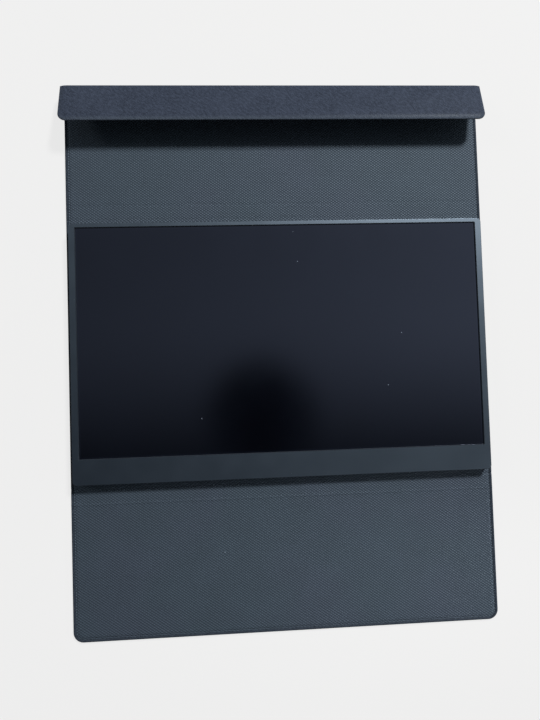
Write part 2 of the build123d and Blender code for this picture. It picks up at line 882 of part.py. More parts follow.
with BuildPart() as headphone_socket:
    block(
        (-inner_x, jack_depth - inner_x),
        (jack_spot - jack_width / 2, jack_high),
        (housing_floor, housing_floor + jack_height),
    )
    with BuildSketch(wall_plane(-inner_x, jack_spot, jack_z)):
        Circle(collar_radius)
    extrude(amount=collar_setback - side_wall)
    with BuildSketch(wall_plane(collar_setback - wall_x, jack_spot, jack_z)):
        Circle(plug_radius)
    extrude(amount=jack_bore_depth, mode=Mode.SUBTRACT)
    block(
        (jack_tab_inset - board_edge, jack_tab_inset - board_edge + tab_length),
        (jack_high, jack_high + tab_reach + notch_gap),
        (circuit_top, circuit_top + tab_thickness),
    )
finish(headphone_socket.part, "headphone_socket")

with BuildPart() as button_board:
    block(
        (-board_edge, button_board_right),
        (button_board_low, button_board_high),
        (circuit_level, circuit_top),
    )
    with BuildSketch(Plane.XY.offset(circuit_level)):
        with Locations(*button_board_screws):
            Circle(passage_radius)
    extrude(amount=circuit_thickness, mode=Mode.SUBTRACT)
finish(button_board.part, "button_board")

# Chips and coils, placed from the main board's lower right corner, and the connectors
tallest_component = service_depth - standoff_height - circuit_thickness - component_clearance
screening_x = board_edge - screening_column
screening_y = main_board_low + screening_row
connector_top = circuit_top + connector_height
ribbon_z = circuit_top + connector_height / 2
left_connector_x = button_board_right - connector_depth - connector_inset
left_connector_end = left_connector_x + connector_depth
right_connector_x = main_board_left + connector_inset
panel_connector_y = main_board_low + connector_inset
speaker_lead_x = speaker_spot + speaker_lead_offset
left_lead_y = button_board_low + left_lead_inset
with BuildPart() as board_components:
    for across, along, width, depth, height in (
        (screening_column, screening_row, controller_size, controller_size, controller_height),
        (memory_column, memory_row, memory_width, memory_depth, chip_height),
        (memory_column, converter_row, converter_width, converter_depth, chip_height),
        (coil_column, coil_row, coil_size, coil_size, tallest_component),
        (coil_column, small_coil_row, small_coil_size, small_coil_size, tallest_component),
        (regulator_column, regulator_row, converter_width, converter_depth, chip_height),
        (clock_column, clock_row, clock_width, clock_depth, chip_height),
        (guard_column, guard_row, guard_width, guard_depth, guard_height),
        (far_guard_column, guard_row, guard_width, guard_depth, guard_height),
    ):
        x = board_edge - across
        y = main_board_low + along
        block(
            (x - width / 2, x + width / 2),
            (y - depth / 2, y + depth / 2),
            (circuit_top, circuit_top + height),
        )
finish(board_components.part, "board_components")

with BuildPart() as cable_connectors:
    lead_half = lead_connector_width / 2
    for x in (left_connector_x, right_connector_x):
        block(
            (x, x + connector_depth),
            (button_ribbon_y - connector_half, button_ribbon_y + connector_half),
            (circuit_top, connector_top),
        )
    for x, half in ((panel_ribbon_x, connector_half), (speaker_lead_x, lead_half)):
        block(
            (x - half, x + half),
            (panel_connector_y, panel_connector_y + connector_depth),
            (circuit_top, connector_top),
        )
    block(
        (left_connector_x, left_connector_end),
        (left_lead_y - lead_half, left_lead_y + lead_half),
        (circuit_top, connector_top),
    )
finish(cable_connectors.part, "cable_connectors")

with BuildPart() as screening_can:
    with BuildSketch(Plane.XY.offset(circuit_top)):
        with Locations((screening_x, screening_y)):
            RectangleRounded(screening_size, screening_size, screening_corner)
    extrude(amount=tallest_component)
    with BuildSketch(Plane.XY.offset(circuit_top)):
        with Locations((screening_x, screening_y)):
            Rectangle(screening_size - 2 * screening_wall, screening_size - 2 * screening_wall)
    extrude(amount=tallest_component - screening_wall, mode=Mode.SUBTRACT)
finish(screening_can.part, "screening_can")

# Flat cables lie on the floor of the housing and rise to their connectors

with BuildPart() as button_ribbon:
    ribbon_low = housing_floor + ribbon_thickness / 2
    with BuildSketch(Plane((0, button_ribbon_y, 0), x_dir=(1, 0, 0), z_dir=(0, -1, 0))):
        with BuildLine():
            FilletPolyline(
                (left_connector_end, ribbon_z),
                (button_board_right + ribbon_lead, ribbon_z),
                (button_board_right + ribbon_lead + ribbon_slope, ribbon_low),
                (main_board_left - ribbon_lead - ribbon_slope, ribbon_low),
                (main_board_left - ribbon_lead, ribbon_z),
                (right_connector_x, ribbon_z),
                radius=ribbon_bend,
            )
        trace(line_width=ribbon_thickness)
    extrude(amount=ribbon_width / 2, both=True)
finish(button_ribbon.part, "button_ribbon")

with BuildPart() as panel_ribbon:
    rise_y = driver_connector_high + ribbon_stub
    ribbon_high = driver_level - connector_height / 2
    with BuildSketch(wall_plane(panel_ribbon_x, 0, 0)):
        with BuildLine():
            FilletPolyline(
                (panel_connector_y, ribbon_z),
                (rise_y, ribbon_z),
                (rise_y, ribbon_high),
                (driver_connector_high, ribbon_high),
                radius=ribbon_stub_bend,
            )
        trace(line_width=ribbon_thickness)
    extrude(amount=ribbon_width / 2, both=True)
finish(panel_ribbon.part, "panel_ribbon")

# Loudspeakers, each behind a fine screen and a foam gasket

screen_low = -inner_y
gasket_low = screen_low + screen_thickness
speaker_low = gasket_low + gasket_thickness
speaker_high = speaker_low + speaker_depth
for name, side in (("left_speaker", -speaker_spot), ("right_speaker", speaker_spot)):
    with BuildPart() as speaker:
        block(
            (side - speaker_width / 2, side + speaker_width / 2),
            (speaker_low, speaker_high),
            (housing_floor, housing_floor + speaker_height),
        )
        fillet(speaker.edges().filter_by(Axis.Y), speaker_round)
        with BuildSketch(Plane((side, speaker_low, speaker_z), x_dir=(1, 0, 0), z_dir=(0, -1, 0))):
            SlotOverall(speaker_width - 2 * cone_margin, speaker_height - 2 * gasket_border)
        extrude(amount=-cone_depth, mode=Mode.SUBTRACT)
    finish(speaker.part, name)

with BuildPart() as speaker_gaskets:
    for side in speaker_sides:
        front = Plane((side, speaker_low, speaker_z), x_dir=(1, 0, 0), z_dir=(0, -1, 0))
        with BuildSketch(front):
            Rectangle(speaker_width, speaker_height)
            Rectangle(
                speaker_width - 2 * gasket_border,
                speaker_height - 2 * gasket_border,
                mode=Mode.SUBTRACT,
            )
        extrude(amount=gasket_thickness)
finish(speaker_gaskets.part, "speaker_gaskets")

with BuildPart() as speaker_screens:
    for side in speaker_sides:
        block(
            (side - speaker_width / 2, side + speaker_width / 2),
            (screen_low, gasket_low),
            (housing_floor, housing_floor + speaker_height),
        )
finish(speaker_screens.part, "speaker_screens")


def wire(points, height):
    """Insulated wire along straight runs with rounded corners, at one height."""
    with BuildPart() as strand:
        with BuildLine(Plane.XY.offset(height)) as route:
            if len(points) > 2:
                FilletPolyline(*points, radius=wire_bend)
            else:
                Line(*points)
        start = route.line @ 0
        heading = route.line % 0
        with BuildSketch(Plane(start, z_dir=heading)):
            Circle(wire_radius)
        sweep(path=route.line)
    return strand.part


with BuildPart() as speaker_leads:
    for step in (-wire_pitch / 2, wire_pitch / 2):
        add(wire([(speaker_lead_x + step, speaker_high),
                  (speaker_lead_x + step, panel_connector_y)], ribbon_z))
        add(wire([(-speaker_lead_x - step, speaker_high),
                  (-speaker_lead_x - step, left_lead_y - step),
                  (left_connector_end, left_lead_y - step)], ribbon_z))
finish(speaker_leads.part, "speaker_leads")

# Keys and their switches

flange_outer = key_gap / 2 - inner_x
flange_inner = flange_outer + key_flange
switch_face = switch_set_back + plunger_depth - board_edge
plunger_face = switch_face - plunger_depth
switch_spots = (power_key_y, rocker_y - rocker_switch_reach, rocker_y + rocker_switch_reach)

with BuildPart() as key_switches:
    for spot in switch_spots:
        block(
            (switch_face, switch_face + switch_depth),
            (spot - switch_width / 2, spot + switch_width / 2),
            (circuit_top, circuit_top + switch_height),
        )
        block(
            (plunger_face, switch_face),
            (spot - plunger_width / 2, spot + plunger_width / 2),
            (key_z - plunger_height / 2, key_z + plunger_height / 2),
        )
finish(key_switches.part, "key_switches")

with BuildPart() as power_button:
    with BuildSketch(wall_plane(-wall_x - key_stand, power_key_y, key_z)):
        SlotOverall(power_key_width, key_height)
    extrude(amount=flange_outer + wall_x + key_stand)
    fillet(power_button.faces().sort_by(Axis.X)[0].edges(), key_round)
    with BuildSketch(wall_plane(flange_outer, power_key_y, key_z)):
        Rectangle(power_key_width + 2 * power_flange_margin, key_height + power_flange_margin)
    extrude(amount=key_flange)
    block(
        (flange_inner, plunger_face - key_travel),
        (power_key_y - stem_width / 2, power_key_y + stem_width / 2),
        (key_z - stem_height / 2, key_z + stem_height / 2),
    )
finish(power_button.part, "power_button")

rocker_outer = flange_outer + rocker_set_back
rocker_inner = rocker_outer + key_flange
with BuildPart() as menu_rocker:
    with BuildSketch(wall_plane(-wall_x - key_stand, rocker_y, key_z)):
        SlotOverall(rocker_width, key_height)
    extrude(amount=rocker_outer + wall_x + key_stand)
    fillet(menu_rocker.faces().sort_by(Axis.X)[0].edges(), key_round)
    with BuildSketch(wall_plane(rocker_outer, rocker_y, key_z)):
        Rectangle(rocker_width + 2 * rocker_flange_margin, key_height)
    extrude(amount=key_flange)
    for side in (-1, 1):
        middle = rocker_y + side * rocker_switch_reach
        block(
            (rocker_inner, plunger_face - key_travel),
            (middle - stem_width / 2, middle + stem_width / 2),
            (key_z - stem_height / 2, key_z + stem_height / 2),
        )
    # Bearing for the pivot pin
    with BuildSketch(Plane.XY.offset(key_z - key_height / 2)):
        with Locations((pivot_x, rocker_y)):
            Circle(pivot_radius + pivot_gap)
    extrude(amount=key_height, mode=Mode.SUBTRACT)
finish(menu_rocker.part, "menu_rocker")

with BuildPart() as rocker_pin:
    pin_low = housing_floor - pan_bite + pivot_gap
    with BuildSketch(Plane.XY.offset(pin_low)):
        with Locations((pivot_x, rocker_y)):
            Circle(pivot_radius)
    extrude(amount=key_z + key_height / 2 - pin_low)
finish(rocker_pin.part, "rocker_pin")


# Screws

def cross_recess():
    """Outline of a cross-shaped driver recess."""
    Rectangle(recess_length, recess_width)
    Rectangle(recess_width, recess_length)


with BuildPart() as housing_screws:
    head_low = cover_thickness + sink_head_set
    head_high = head_low + sink_head_radius - screw_radius
    for x, y in boss_spots:
        with BuildSketch(Plane((x, y, 0), x_dir=(1, 0, 0), z_dir=(0, -1, 0))) as half:
            Polygon(
                (0, head_low),
                (sink_head_radius, head_low),
                (screw_radius, head_high),
                (screw_radius, head_high + screw_reach),
                (0, head_high + screw_reach),
                align=None,
            )
        revolve(half.sketch, axis=Axis((x, y, 0), (0, 0, 1)))
    with BuildSketch(Plane.XY.offset(head_low)):
        with Locations(*boss_spots):
            cross_recess()
    extrude(amount=recess_depth, mode=Mode.SUBTRACT)
finish(housing_screws.part, "housing_screws")

with BuildPart() as board_screws:
    with BuildSketch(Plane.XY.offset(housing_floor - pan_bite + screw_gap)):
        with Locations(*board_screw_spots):
            Circle(screw_radius)
    extrude(amount=circuit_top - housing_floor + pan_bite - screw_gap)
    with BuildSketch(Plane.XY.offset(circuit_top)):
        with Locations(*board_screw_spots):
            Circle(pan_radius)
    extrude(amount=pan_height)
    with BuildSketch(Plane.XY.offset(circuit_top + pan_height)):
        with Locations(*board_screw_spots):
            cross_recess()
    extrude(amount=-recess_depth, mode=Mode.SUBTRACT)
finish(board_screws.part, "board_screws")

with BuildPart() as holding_magnets:
    with BuildSketch(Plane.XY.offset(housing_floor)):
        with Locations(*holding_spots):
            RectangleRounded(holding_magnet_width, holding_magnet_depth, holding_magnet_corner)
    extrude(amount=holding_magnet_thickness)
finish(holding_magnets.part, "holding_magnets")
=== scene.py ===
"""Looks of a portable monitor lying in its open folding cover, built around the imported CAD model."""

import json
import logging
import math
from collections.abc import Callable
from dataclasses import dataclass, field
from enum import Enum

import bmesh
import bpy
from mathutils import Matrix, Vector

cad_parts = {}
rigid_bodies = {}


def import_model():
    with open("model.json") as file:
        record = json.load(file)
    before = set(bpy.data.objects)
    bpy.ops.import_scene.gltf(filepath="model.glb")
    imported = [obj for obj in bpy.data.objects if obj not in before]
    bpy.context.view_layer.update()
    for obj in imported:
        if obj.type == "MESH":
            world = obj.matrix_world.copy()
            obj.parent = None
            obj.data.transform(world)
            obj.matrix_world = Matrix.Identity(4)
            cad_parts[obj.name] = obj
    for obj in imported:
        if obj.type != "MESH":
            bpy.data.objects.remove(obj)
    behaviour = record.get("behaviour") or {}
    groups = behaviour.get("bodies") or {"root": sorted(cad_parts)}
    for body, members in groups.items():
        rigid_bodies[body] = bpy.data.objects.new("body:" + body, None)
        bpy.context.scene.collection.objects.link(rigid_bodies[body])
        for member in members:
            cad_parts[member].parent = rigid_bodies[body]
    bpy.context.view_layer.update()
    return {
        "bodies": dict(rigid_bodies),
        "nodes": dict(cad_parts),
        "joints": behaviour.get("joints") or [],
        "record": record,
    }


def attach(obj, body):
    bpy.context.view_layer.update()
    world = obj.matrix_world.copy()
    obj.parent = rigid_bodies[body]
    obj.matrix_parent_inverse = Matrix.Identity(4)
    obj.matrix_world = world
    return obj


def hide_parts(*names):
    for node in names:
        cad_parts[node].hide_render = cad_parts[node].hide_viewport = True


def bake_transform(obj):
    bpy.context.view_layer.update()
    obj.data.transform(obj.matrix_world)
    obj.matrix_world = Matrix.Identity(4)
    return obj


log = logging.getLogger("portable_monitor")

MM = 0.001
FULL_TURN = 2.0 * math.pi
Colour = tuple[float, float, float]
Vec3 = tuple[float, float, float]
Pair = tuple[float, float]
Section = list[Pair]
Span = tuple[float, float, float, float]
Socket = bpy.types.NodeSocket
Sockets = bpy.types.bpy_prop_collection
Feeds = dict[str, object]
Points = list[bmesh.types.BMVert]

WHITE: Colour = (1.0, 1.0, 1.0)
COOL_LIGHT: Colour = (0.86, 0.94, 1.0)
NOISE_SPAN: Pair = (0.3, 0.7)


# ---------------------------------------------------------------- shader helpers


class Graph:
    """Adds nodes to a node tree in few words."""

    def __init__(self, tree: bpy.types.NodeTree) -> None:
        """Empties the tree.

        Args:
            tree: The material's, world's or group's node tree.
        """
        self.tree = tree
        tree.nodes.clear()

    def add(self, kind: str, inputs: dict | None = None, **settings: object) -> bpy.types.Node:
        """Adds one node.

        Args:
            kind: Blender's name of the node type.
            inputs: Values or sockets by input name or number.
            settings: Properties of the node.

        Returns:
            The new node.
        """
        node = self.tree.nodes.new(kind)
        for name, value in settings.items():
            setattr(node, name, value)
        for key, value in (inputs or {}).items():
            self.feed(node.inputs[key], value)
        return node

    def feed(self, socket: Socket, value: object) -> None:
        """Links a socket, or sets its value.

        Args:
            socket: The input to set.
            value: Another node's output, a number, or a colour.
        """
        if isinstance(value, bpy.types.NodeSocket):
            self.tree.links.new(value, socket)
        elif isinstance(value, tuple) and len(value) == 3 and socket.type == "RGBA":
            socket.default_value = (*value, 1.0)
        else:
            socket.default_value = value

    def math(self, operation: str, a: object, b: object = 0.0, c: object = 0.0) -> Socket:
        """Adds a Math node.

        Args:
            operation: The sum that it does.
            a: First number or socket.
            b: Second number or socket.
            c: Third number or socket.

        Returns:
            The result's socket.
        """
        return self.add("ShaderNodeMath", {0: a, 1: b, 2: c}, operation=operation).outputs[0]

    def mix(self, share: object, a: object, b: object, blend: str = "MIX") -> Socket:
        """Mixes two colours.

        Args:
            share: How much of b shows.
            a: First colour or socket.
            b: Second colour or socket.
            blend: Blend mode.

        Returns:
            The mixed colour's socket.
        """
        colours = {0: share, 6: a, 7: b}
        return self.add("ShaderNodeMix", colours, data_type="RGBA", blend_type=blend).outputs[2]

    def spread(self, value: object, low: float, high: float,
               to_low: float = 0.0, to_high: float = 1.0) -> Socket:
        """Maps a range onto another, clamped and eased.

        Args:
            value: The number or socket to map.
            low: Start of its range.
            high: End of its range.
            to_low: Result at the start.
            to_high: Result at the end.

        Returns:
            The mapped value's socket.
        """
        names = {"Value": value, "From Min": low, "From Max": high, "To Min": to_low, "To Max": to_high}
        return self.add("ShaderNodeMapRange", names, interpolation_type="SMOOTHSTEP").outputs[0]

    def noise(self, vector: object, scale: object, detail: float = 3.0, rough: float = 0.5) -> Socket:
        """Adds a noise texture.

        Args:
            vector: Where it is read.
            scale: Lumps per metre.
            detail: Octaves.
            rough: Weight of the finer octaves.

        Returns:
            The noise value's socket.
        """
        names = {"Vector": vector, "Scale": scale, "Detail": detail, "Roughness": rough}
        return self.add("ShaderNodeTexNoise", names).outputs["Fac"]

    def cells(self, vector: object, scale: object, **settings: object) -> bpy.types.Node:
        """Adds a cell texture.

        Args:
            vector: Where it is read.
            scale: Cells per metre.
            settings: Properties of the node.

        Returns:
            The texture's node.
        """
        return self.add("ShaderNodeTexVoronoi", {"Vector": vector, "Scale": scale}, **settings)

    def vector(self, operation: str, a: object, b: object) -> Socket:
        """Returns the result of a Vector Math node on a vector and a second vector."""
        node = self.add("ShaderNodeVectorMath", {0: a, 1: b}, operation=operation)
        return node.outputs["Value" if operation == "DOT_PRODUCT" else "Vector"]

    def lifted(self, wave: object) -> Socket:
        """Returns a wave between -1 and 1 as a height between 0 and 1."""
        return self.math("MULTIPLY_ADD", wave, 0.5, 0.5)

    def place(self) -> Socket:
        """Returns the point on the object, in metres."""
        return self.add("ShaderNodeTexCoord").outputs["Object"]

    def unrolled(self) -> Socket:
        """Returns the point on the cover laid out flat, in metres."""
        return self.add("ShaderNodeTexCoord").outputs["UV"]

    def axes(self, vector: object) -> tuple[Socket, Socket, Socket]:
        """Returns the x, y and z of a vector."""
        node = self.add("ShaderNodeSeparateXYZ", {0: vector})
        return node.outputs[0], node.outputs[1], node.outputs[2]

    def bump(self, height: object, depth: float, strength: float = 1.0, **base: Socket) -> Socket:
        """Turns a height into a normal.

        Args:
            height: Height from 0 to 1.
            depth: What 1 stands for, in metres.
            strength: Share of the effect.
            base: The Normal that it adds to, if any.

        Returns:
            The normal's socket.
        """
        names = {"Height": height, "Distance": depth, "Strength": strength, **base}
        return self.add("ShaderNodeBump", names).outputs[0]


class Effect(Enum):
    """Surface effects that several materials share, each built once as a node group."""

    LINING_WEAVE = "lining_weave"
    LEATHER_GRAIN = "leather_grain"
    MOULD_TEXTURE = "mould_texture"
    SETTLED_DUST = "settled_dust"
    DRAWN_LINES = "drawn_lines"


class EffectMaker:
    """Builds the shared node groups. Lengths are in metres, and scales are lumps per metre."""

    DRIFT_SCALE = 60.0
    DRIFT_LENGTH = 0.00008
    THREAD_PITCH = 0.00042
    LIT_TOPS = (-0.35, 0.85)
    STROKE_SLANT = -0.7
    STROKE_STRETCH = (0.4, 1.0, 1.0)
    STROKE_SCALE = 620.0
    PEBBLE_SOFTNESS = 0.6
    PEBBLE_SPAN = (0.1, 0.75)
    WRINKLE_SCALE = 2600.0
    WRINKLE_SHARE = 0.35
    GRAIN_MOTTLE_SCALE = 38.0
    PIT_SHARE = 0.6
    SPECK_SPAN = (0.58, 0.72)
    MOULD_MOTTLE_SCALE = 45.0
    LINE_STRETCH = (0.03, 1.0, 1.0)
    STAIN_SCALE = 55.0

    def build(self) -> dict[Effect, bpy.types.NodeTree]:
        """Builds every group once.

        Returns:
            The groups by effect.
        """
        plans = {
            Effect.LINING_WEAVE: (self._weave, {"Pitch Across": 0.0032, "Pitch Along": 0.00228}),
            Effect.LEATHER_GRAIN: (self._grain, {"Scale": 1100.0}),
            Effect.MOULD_TEXTURE: (self._mould, {"Scale": 2200.0}),
            Effect.SETTLED_DUST: (self._dust, {"Scale": 70.0, "Size": 0.02, "Bare": 0.45}),
            Effect.DRAWN_LINES: (self._lines, {"Scale": 900.0}),
        }
        return {effect: self._group(effect.value, *plan) for effect, plan in plans.items()}

    @staticmethod
    def _group(name: str, fill: Callable[[Graph, Sockets], Feeds],
               sizes: dict[str, float]) -> bpy.types.NodeTree:
        """Builds one group.

        Args:
            name: The group's name.
            fill: Adds its nodes and returns its outputs by name.
            sizes: Default of each number input, beside the vector that every group reads.

        Returns:
            The group's tree.
        """
        tree = bpy.data.node_groups.new(name, "ShaderNodeTree")
        sockets = tree.interface
        sockets.new_socket("Vector", in_out="INPUT", socket_type="NodeSocketVector")
        for label, default in sizes.items():
            socket = sockets.new_socket(label, in_out="INPUT", socket_type="NodeSocketFloat")
            socket.default_value = default
        g = Graph(tree)
        results = fill(g, g.add("NodeGroupInput").outputs)
        for label in results:
            sockets.new_socket(label, in_out="OUTPUT", socket_type="NodeSocketFloat")
        g.add("NodeGroupOutput", results)
        return tree

    def _weave(self, g: Graph, given: Sockets) -> Feeds:
        """Adds the lozenge weave of the lining, read from the cover laid out flat.

        Args:
            g: The group's graph.
            given: Its inputs by name.

        Returns:
            The height of the weave, the mask of its lit tops and the waves of its fine threads.
        """
        u, v, _ = g.axes(given["Vector"])
        drift = g.noise(given["Vector"], self.DRIFT_SCALE, detail=1.0)
        u = g.math("MULTIPLY_ADD", drift, self.DRIFT_LENGTH, u)
        waves = [g.math("COSINE", g.math("DIVIDE", g.math("MULTIPLY", along, FULL_TURN), given[pitch]))
                 for along, pitch in ((u, "Pitch Across"), (v, "Pitch Along"))]
        lattice = g.math("MULTIPLY", *waves)
        fine = g.math("MULTIPLY", g.math("ADD", u, v), FULL_TURN / self.THREAD_PITCH)
        return {
            "Height": g.lifted(lattice),
            "Tops": g.spread(lattice, *self.LIT_TOPS),
            "Threads": g.lifted(g.math("SINE", fine)),
        }

    def _grain(self, g: Graph, given: Sockets) -> Feeds:
        """Adds the fine pebbled grain of leather, which also serves fibre and foam.

        Args:
            g: The group's graph.
            given: Its inputs by name.

        Returns:
            The height of the grain, its broad mottling and slanted strokes of wear.
        """
        vector = given["Vector"]
        turn = {"Vector": vector, "Axis": (0.0, 0.0, 1.0), "Angle": self.STROKE_SLANT}
        turned = g.add("ShaderNodeVectorRotate", turn).outputs[0]
        slanted = g.vector("MULTIPLY", turned, self.STROKE_STRETCH)
        pebble = g.cells(vector, given["Scale"], feature="SMOOTH_F1")
        pebble.inputs["Smoothness"].default_value = self.PEBBLE_SOFTNESS
        pebbles = g.spread(pebble.outputs["Distance"], *self.PEBBLE_SPAN, 1.0, 0.0)
        wrinkles = g.noise(vector, self.WRINKLE_SCALE)
        return {
            "Height": g.math("MULTIPLY_ADD", wrinkles, self.WRINKLE_SHARE, pebbles),
            "Mottle": g.noise(vector, self.GRAIN_MOTTLE_SCALE, detail=4.0, rough=0.6),
            "Strokes": g.noise(slanted, self.STROKE_SCALE, detail=2.0, rough=0.6),
        }

    def _mould(self, g: Graph, given: Sockets) -> Feeds:
        """Adds the spark-eroded texture of a moulded part.

        Args:
            g: The group's graph.
            given: Its inputs by name.

        Returns:
            The height of the texture, the mask of sparse light specks and broad mottling.
        """
        vector, scale = given["Vector"], given["Scale"]
        lumps = g.noise(vector, scale, detail=2.0)
        pits = g.cells(vector, scale).outputs["Distance"]
        return {
            "Height": g.math("MULTIPLY_ADD", pits, self.PIT_SHARE, lumps),
            "Specks": g.spread(lumps, *self.SPECK_SPAN),
            "Mottle": g.noise(vector, self.MOULD_MOTTLE_SCALE),
        }

    @staticmethod
    def _dust(g: Graph, given: Sockets) -> Feeds:
        """Adds sparse specks of settled dust.

        Args:
            g: The group's graph.
            given: Its inputs by name.

        Returns:
            The mask of the specks.
        """
        cells = g.cells(given["Vector"], given["Scale"])
        inside = g.math("LESS_THAN", cells.outputs["Distance"], given["Size"])
        picked = g.math("GREATER_THAN", g.axes(cells.outputs["Color"])[0], given["Bare"])
        return {"Mask": g.math("MULTIPLY", inside, picked)}

    def _lines(self, g: Graph, given: Sockets) -> Feeds:
        """Adds the fine parallel lines of drawn or rolled metal and film.

        Args:
            g: The group's graph.
            given: Its inputs by name.

        Returns:
            The height of the lines and the mask of soft stains.
        """
        drawn = g.vector("MULTIPLY", given["Vector"], self.LINE_STRETCH)
        return {
            "Height": g.noise(drawn, given["Scale"], detail=4.0),
            "Stains": g.noise(given["Vector"], self.STAIN_SCALE, detail=4.0, rough=0.6),
        }


# ---------------------------------------------------------------- finishes


@dataclass(frozen=True)
class Dust:
    """Settled specks: their colour, how much a speck covers, and the sizes of their pattern."""

    colour: Colour
    cover: float = 0.5
    scale: float = 70.0
    size: float = 0.02
    bare: float = 0.45


class MaterialGraph(Graph):
    """A material's graph, which can place the shared node groups."""

    def __init__(self, tree: bpy.types.NodeTree, groups: dict[Effect, bpy.types.NodeTree]) -> None:
        """Empties the tree and keeps the groups.

        Args:
            tree: The material's node tree.
            groups: The shared groups by effect.
        """
        super().__init__(tree)
        self.groups = groups

    def effect(self, effect: Effect, vector: object, **sizes: float) -> Sockets:
        """Places a shared group.

        Args:
            effect: Which group.
            vector: Where its pattern is read.
            sizes: Its number inputs by name.

        Returns:
            Its outputs by name.
        """
        inputs = {"Vector": vector, **sizes}
        return self.add("ShaderNodeGroup", inputs, node_tree=self.groups[effect]).outputs

    def dusty(self, tone: object, dust: Dust, vector: object) -> tuple[Socket, Socket]:
        """Lays settled dust over a colour.

        Args:
            tone: The colour under the dust.
            dust: The specks.
            vector: Where their pattern is read.

        Returns:
            The dusty colour and the mask of the specks.
        """
        sizes = {"Scale": dust.scale, "Size": dust.size, "Bare": dust.bare}
        mask = self.effect(Effect.SETTLED_DUST, vector, **sizes)["Mask"]
        return self.mix(self.math("MULTIPLY", mask, dust.cover), tone, dust.colour), mask


def make_material(name: str, groups: dict[Effect, bpy.types.NodeTree],
                  dress: Callable[[MaterialGraph], Feeds]) -> bpy.types.Material:
    """Makes a material of one Principled node.

    Args:
        name: The material's name.
        groups: The shared groups that it may place.
        dress: Adds the nodes that feed it and returns what each of its inputs gets.

    Returns:
        The finished material.
    """
    made = bpy.data.materials.new(name)
    made.use_nodes = True
    g = MaterialGraph(made.node_tree, groups)
    shader = g.add("ShaderNodeBsdfPrincipled", dress(g))
    g.add("ShaderNodeOutputMaterial", {"Surface": shader.outputs[0]})
    return made


@dataclass(frozen=True)
class Finish:
    """A finish of the object, dressed as one material. Shades are factors of its own colour."""

    slot: str
    colour: Colour
    roughness: float = 0.5

    def dress(self, g: MaterialGraph) -> Feeds:
        """Adds the nodes that feed the shader. Each kind of finish does it in its own way.

        Args:
            g: The material's graph.

        Returns:
            What each of the shader's inputs gets.
        """
        raise NotImplementedError

    def shade(self, factor: float) -> Colour:
        """Returns the finish's colour made lighter or darker."""
        r, g, b = self.colour
        return (r * factor, g * factor, b * factor)

    def tones(self, g: MaterialGraph, mask: object, span: Pair, shades: Pair) -> Socket:
        """Mixes two shades of the finish.

        Args:
            g: The material's graph.
            mask: The value that decides between them.
            span: Where the mask leaves the first shade and reaches the second.
            shades: The two shades.

        Returns:
            The mixed colour's socket.
        """
        return g.mix(g.spread(mask, *span), self.shade(shades[0]), self.shade(shades[1]))

    def over(self, g: MaterialGraph, tone: object, mask: object, span: Span, shade: float) -> Socket:
        """Lays another shade of the finish over a colour.

        Args:
            g: The material's graph.
            tone: The colour under it.
            mask: The value that it follows.
            span: Range of the mask and what it becomes.
            shade: The other shade.

        Returns:
            The mixed colour's socket.
        """
        return g.mix(g.spread(mask, *span), tone, self.shade(shade))

    def uneven(self, g: MaterialGraph, mask: object, drift: Pair) -> Socket:
        """Returns a roughness that a mask makes smoother or rougher by up to the drift's two values."""
        return g.spread(mask, *NOISE_SPAN, self.roughness - drift[0], self.roughness + drift[1])


@dataclass(frozen=True)
class WovenLining(Finish):
    """Coated lozenge weave that lines the cover."""

    pitch_across: float = 0.0032
    pitch_along: float = 0.00228
    # painted light on the weave's tops and painted shade in its valleys, as a share of the colour
    painted_relief_contrast: float = 0.15
    depth: float = 0.00034
    thread_depth: float = 0.000008
    valley_rough: float = 0.32
    wear: Pair = (0.94, 1.06)
    drift_scale: float = 9.0
    drift_span: Pair = (0.38, 0.62)
    drift_tint: Colour = (1.06, 0.965, 1.025)
    dust: Dust = Dust((0.36, 0.40, 0.45), scale=38.0, size=0.016, bare=0.86)
    level: float = 0.7
    gloss: Colour = (0.84, 0.93, 1.0)

    def dress(self, g: MaterialGraph) -> Feeds:
        """Adds the weave with painted light on its tops and painted shade in its valleys, a slow drift of
        tone, and dust.

        Args:
            g: The material's graph.

        Returns:
            What each of the shader's inputs gets.
        """
        flat = g.unrolled()
        pitches = {"Pitch Across": self.pitch_across, "Pitch Along": self.pitch_along}
        weave = g.effect(Effect.LINING_WEAVE, flat, **pitches)
        # painted light and shade: lighter tops and darker valleys of the weave
        tone = g.mix(weave["Tops"], self.shade(1.0 - self.painted_relief_contrast), self.shade(1.0 + self.painted_relief_contrast))
        mottle = g.effect(Effect.LEATHER_GRAIN, g.place())["Mottle"]
        marked_tone = {0: tone, "Scale": g.spread(mottle, *NOISE_SPAN, *self.wear)}
        tone = g.add("ShaderNodeVectorMath", marked_tone, operation="SCALE").outputs[0]
        drift = g.spread(g.noise(flat, self.drift_scale, detail=2.0), *self.drift_span)
        tone = g.mix(drift, tone, g.mix(1.0, tone, self.drift_tint, "MULTIPLY"))
        tone, _ = g.dusty(tone, self.dust, flat)
        threads = g.bump(weave["Threads"], self.thread_depth)
        valleys = self.roughness + self.valley_rough
        return {
            "Base Color": tone,
            "Roughness": g.spread(weave["Tops"], 0.0, 1.0, valleys, self.roughness),
            "Normal": g.bump(weave["Height"], self.depth, Normal=threads),
            "Specular IOR Level": self.level,
            "Specular Tint": self.gloss,
        }


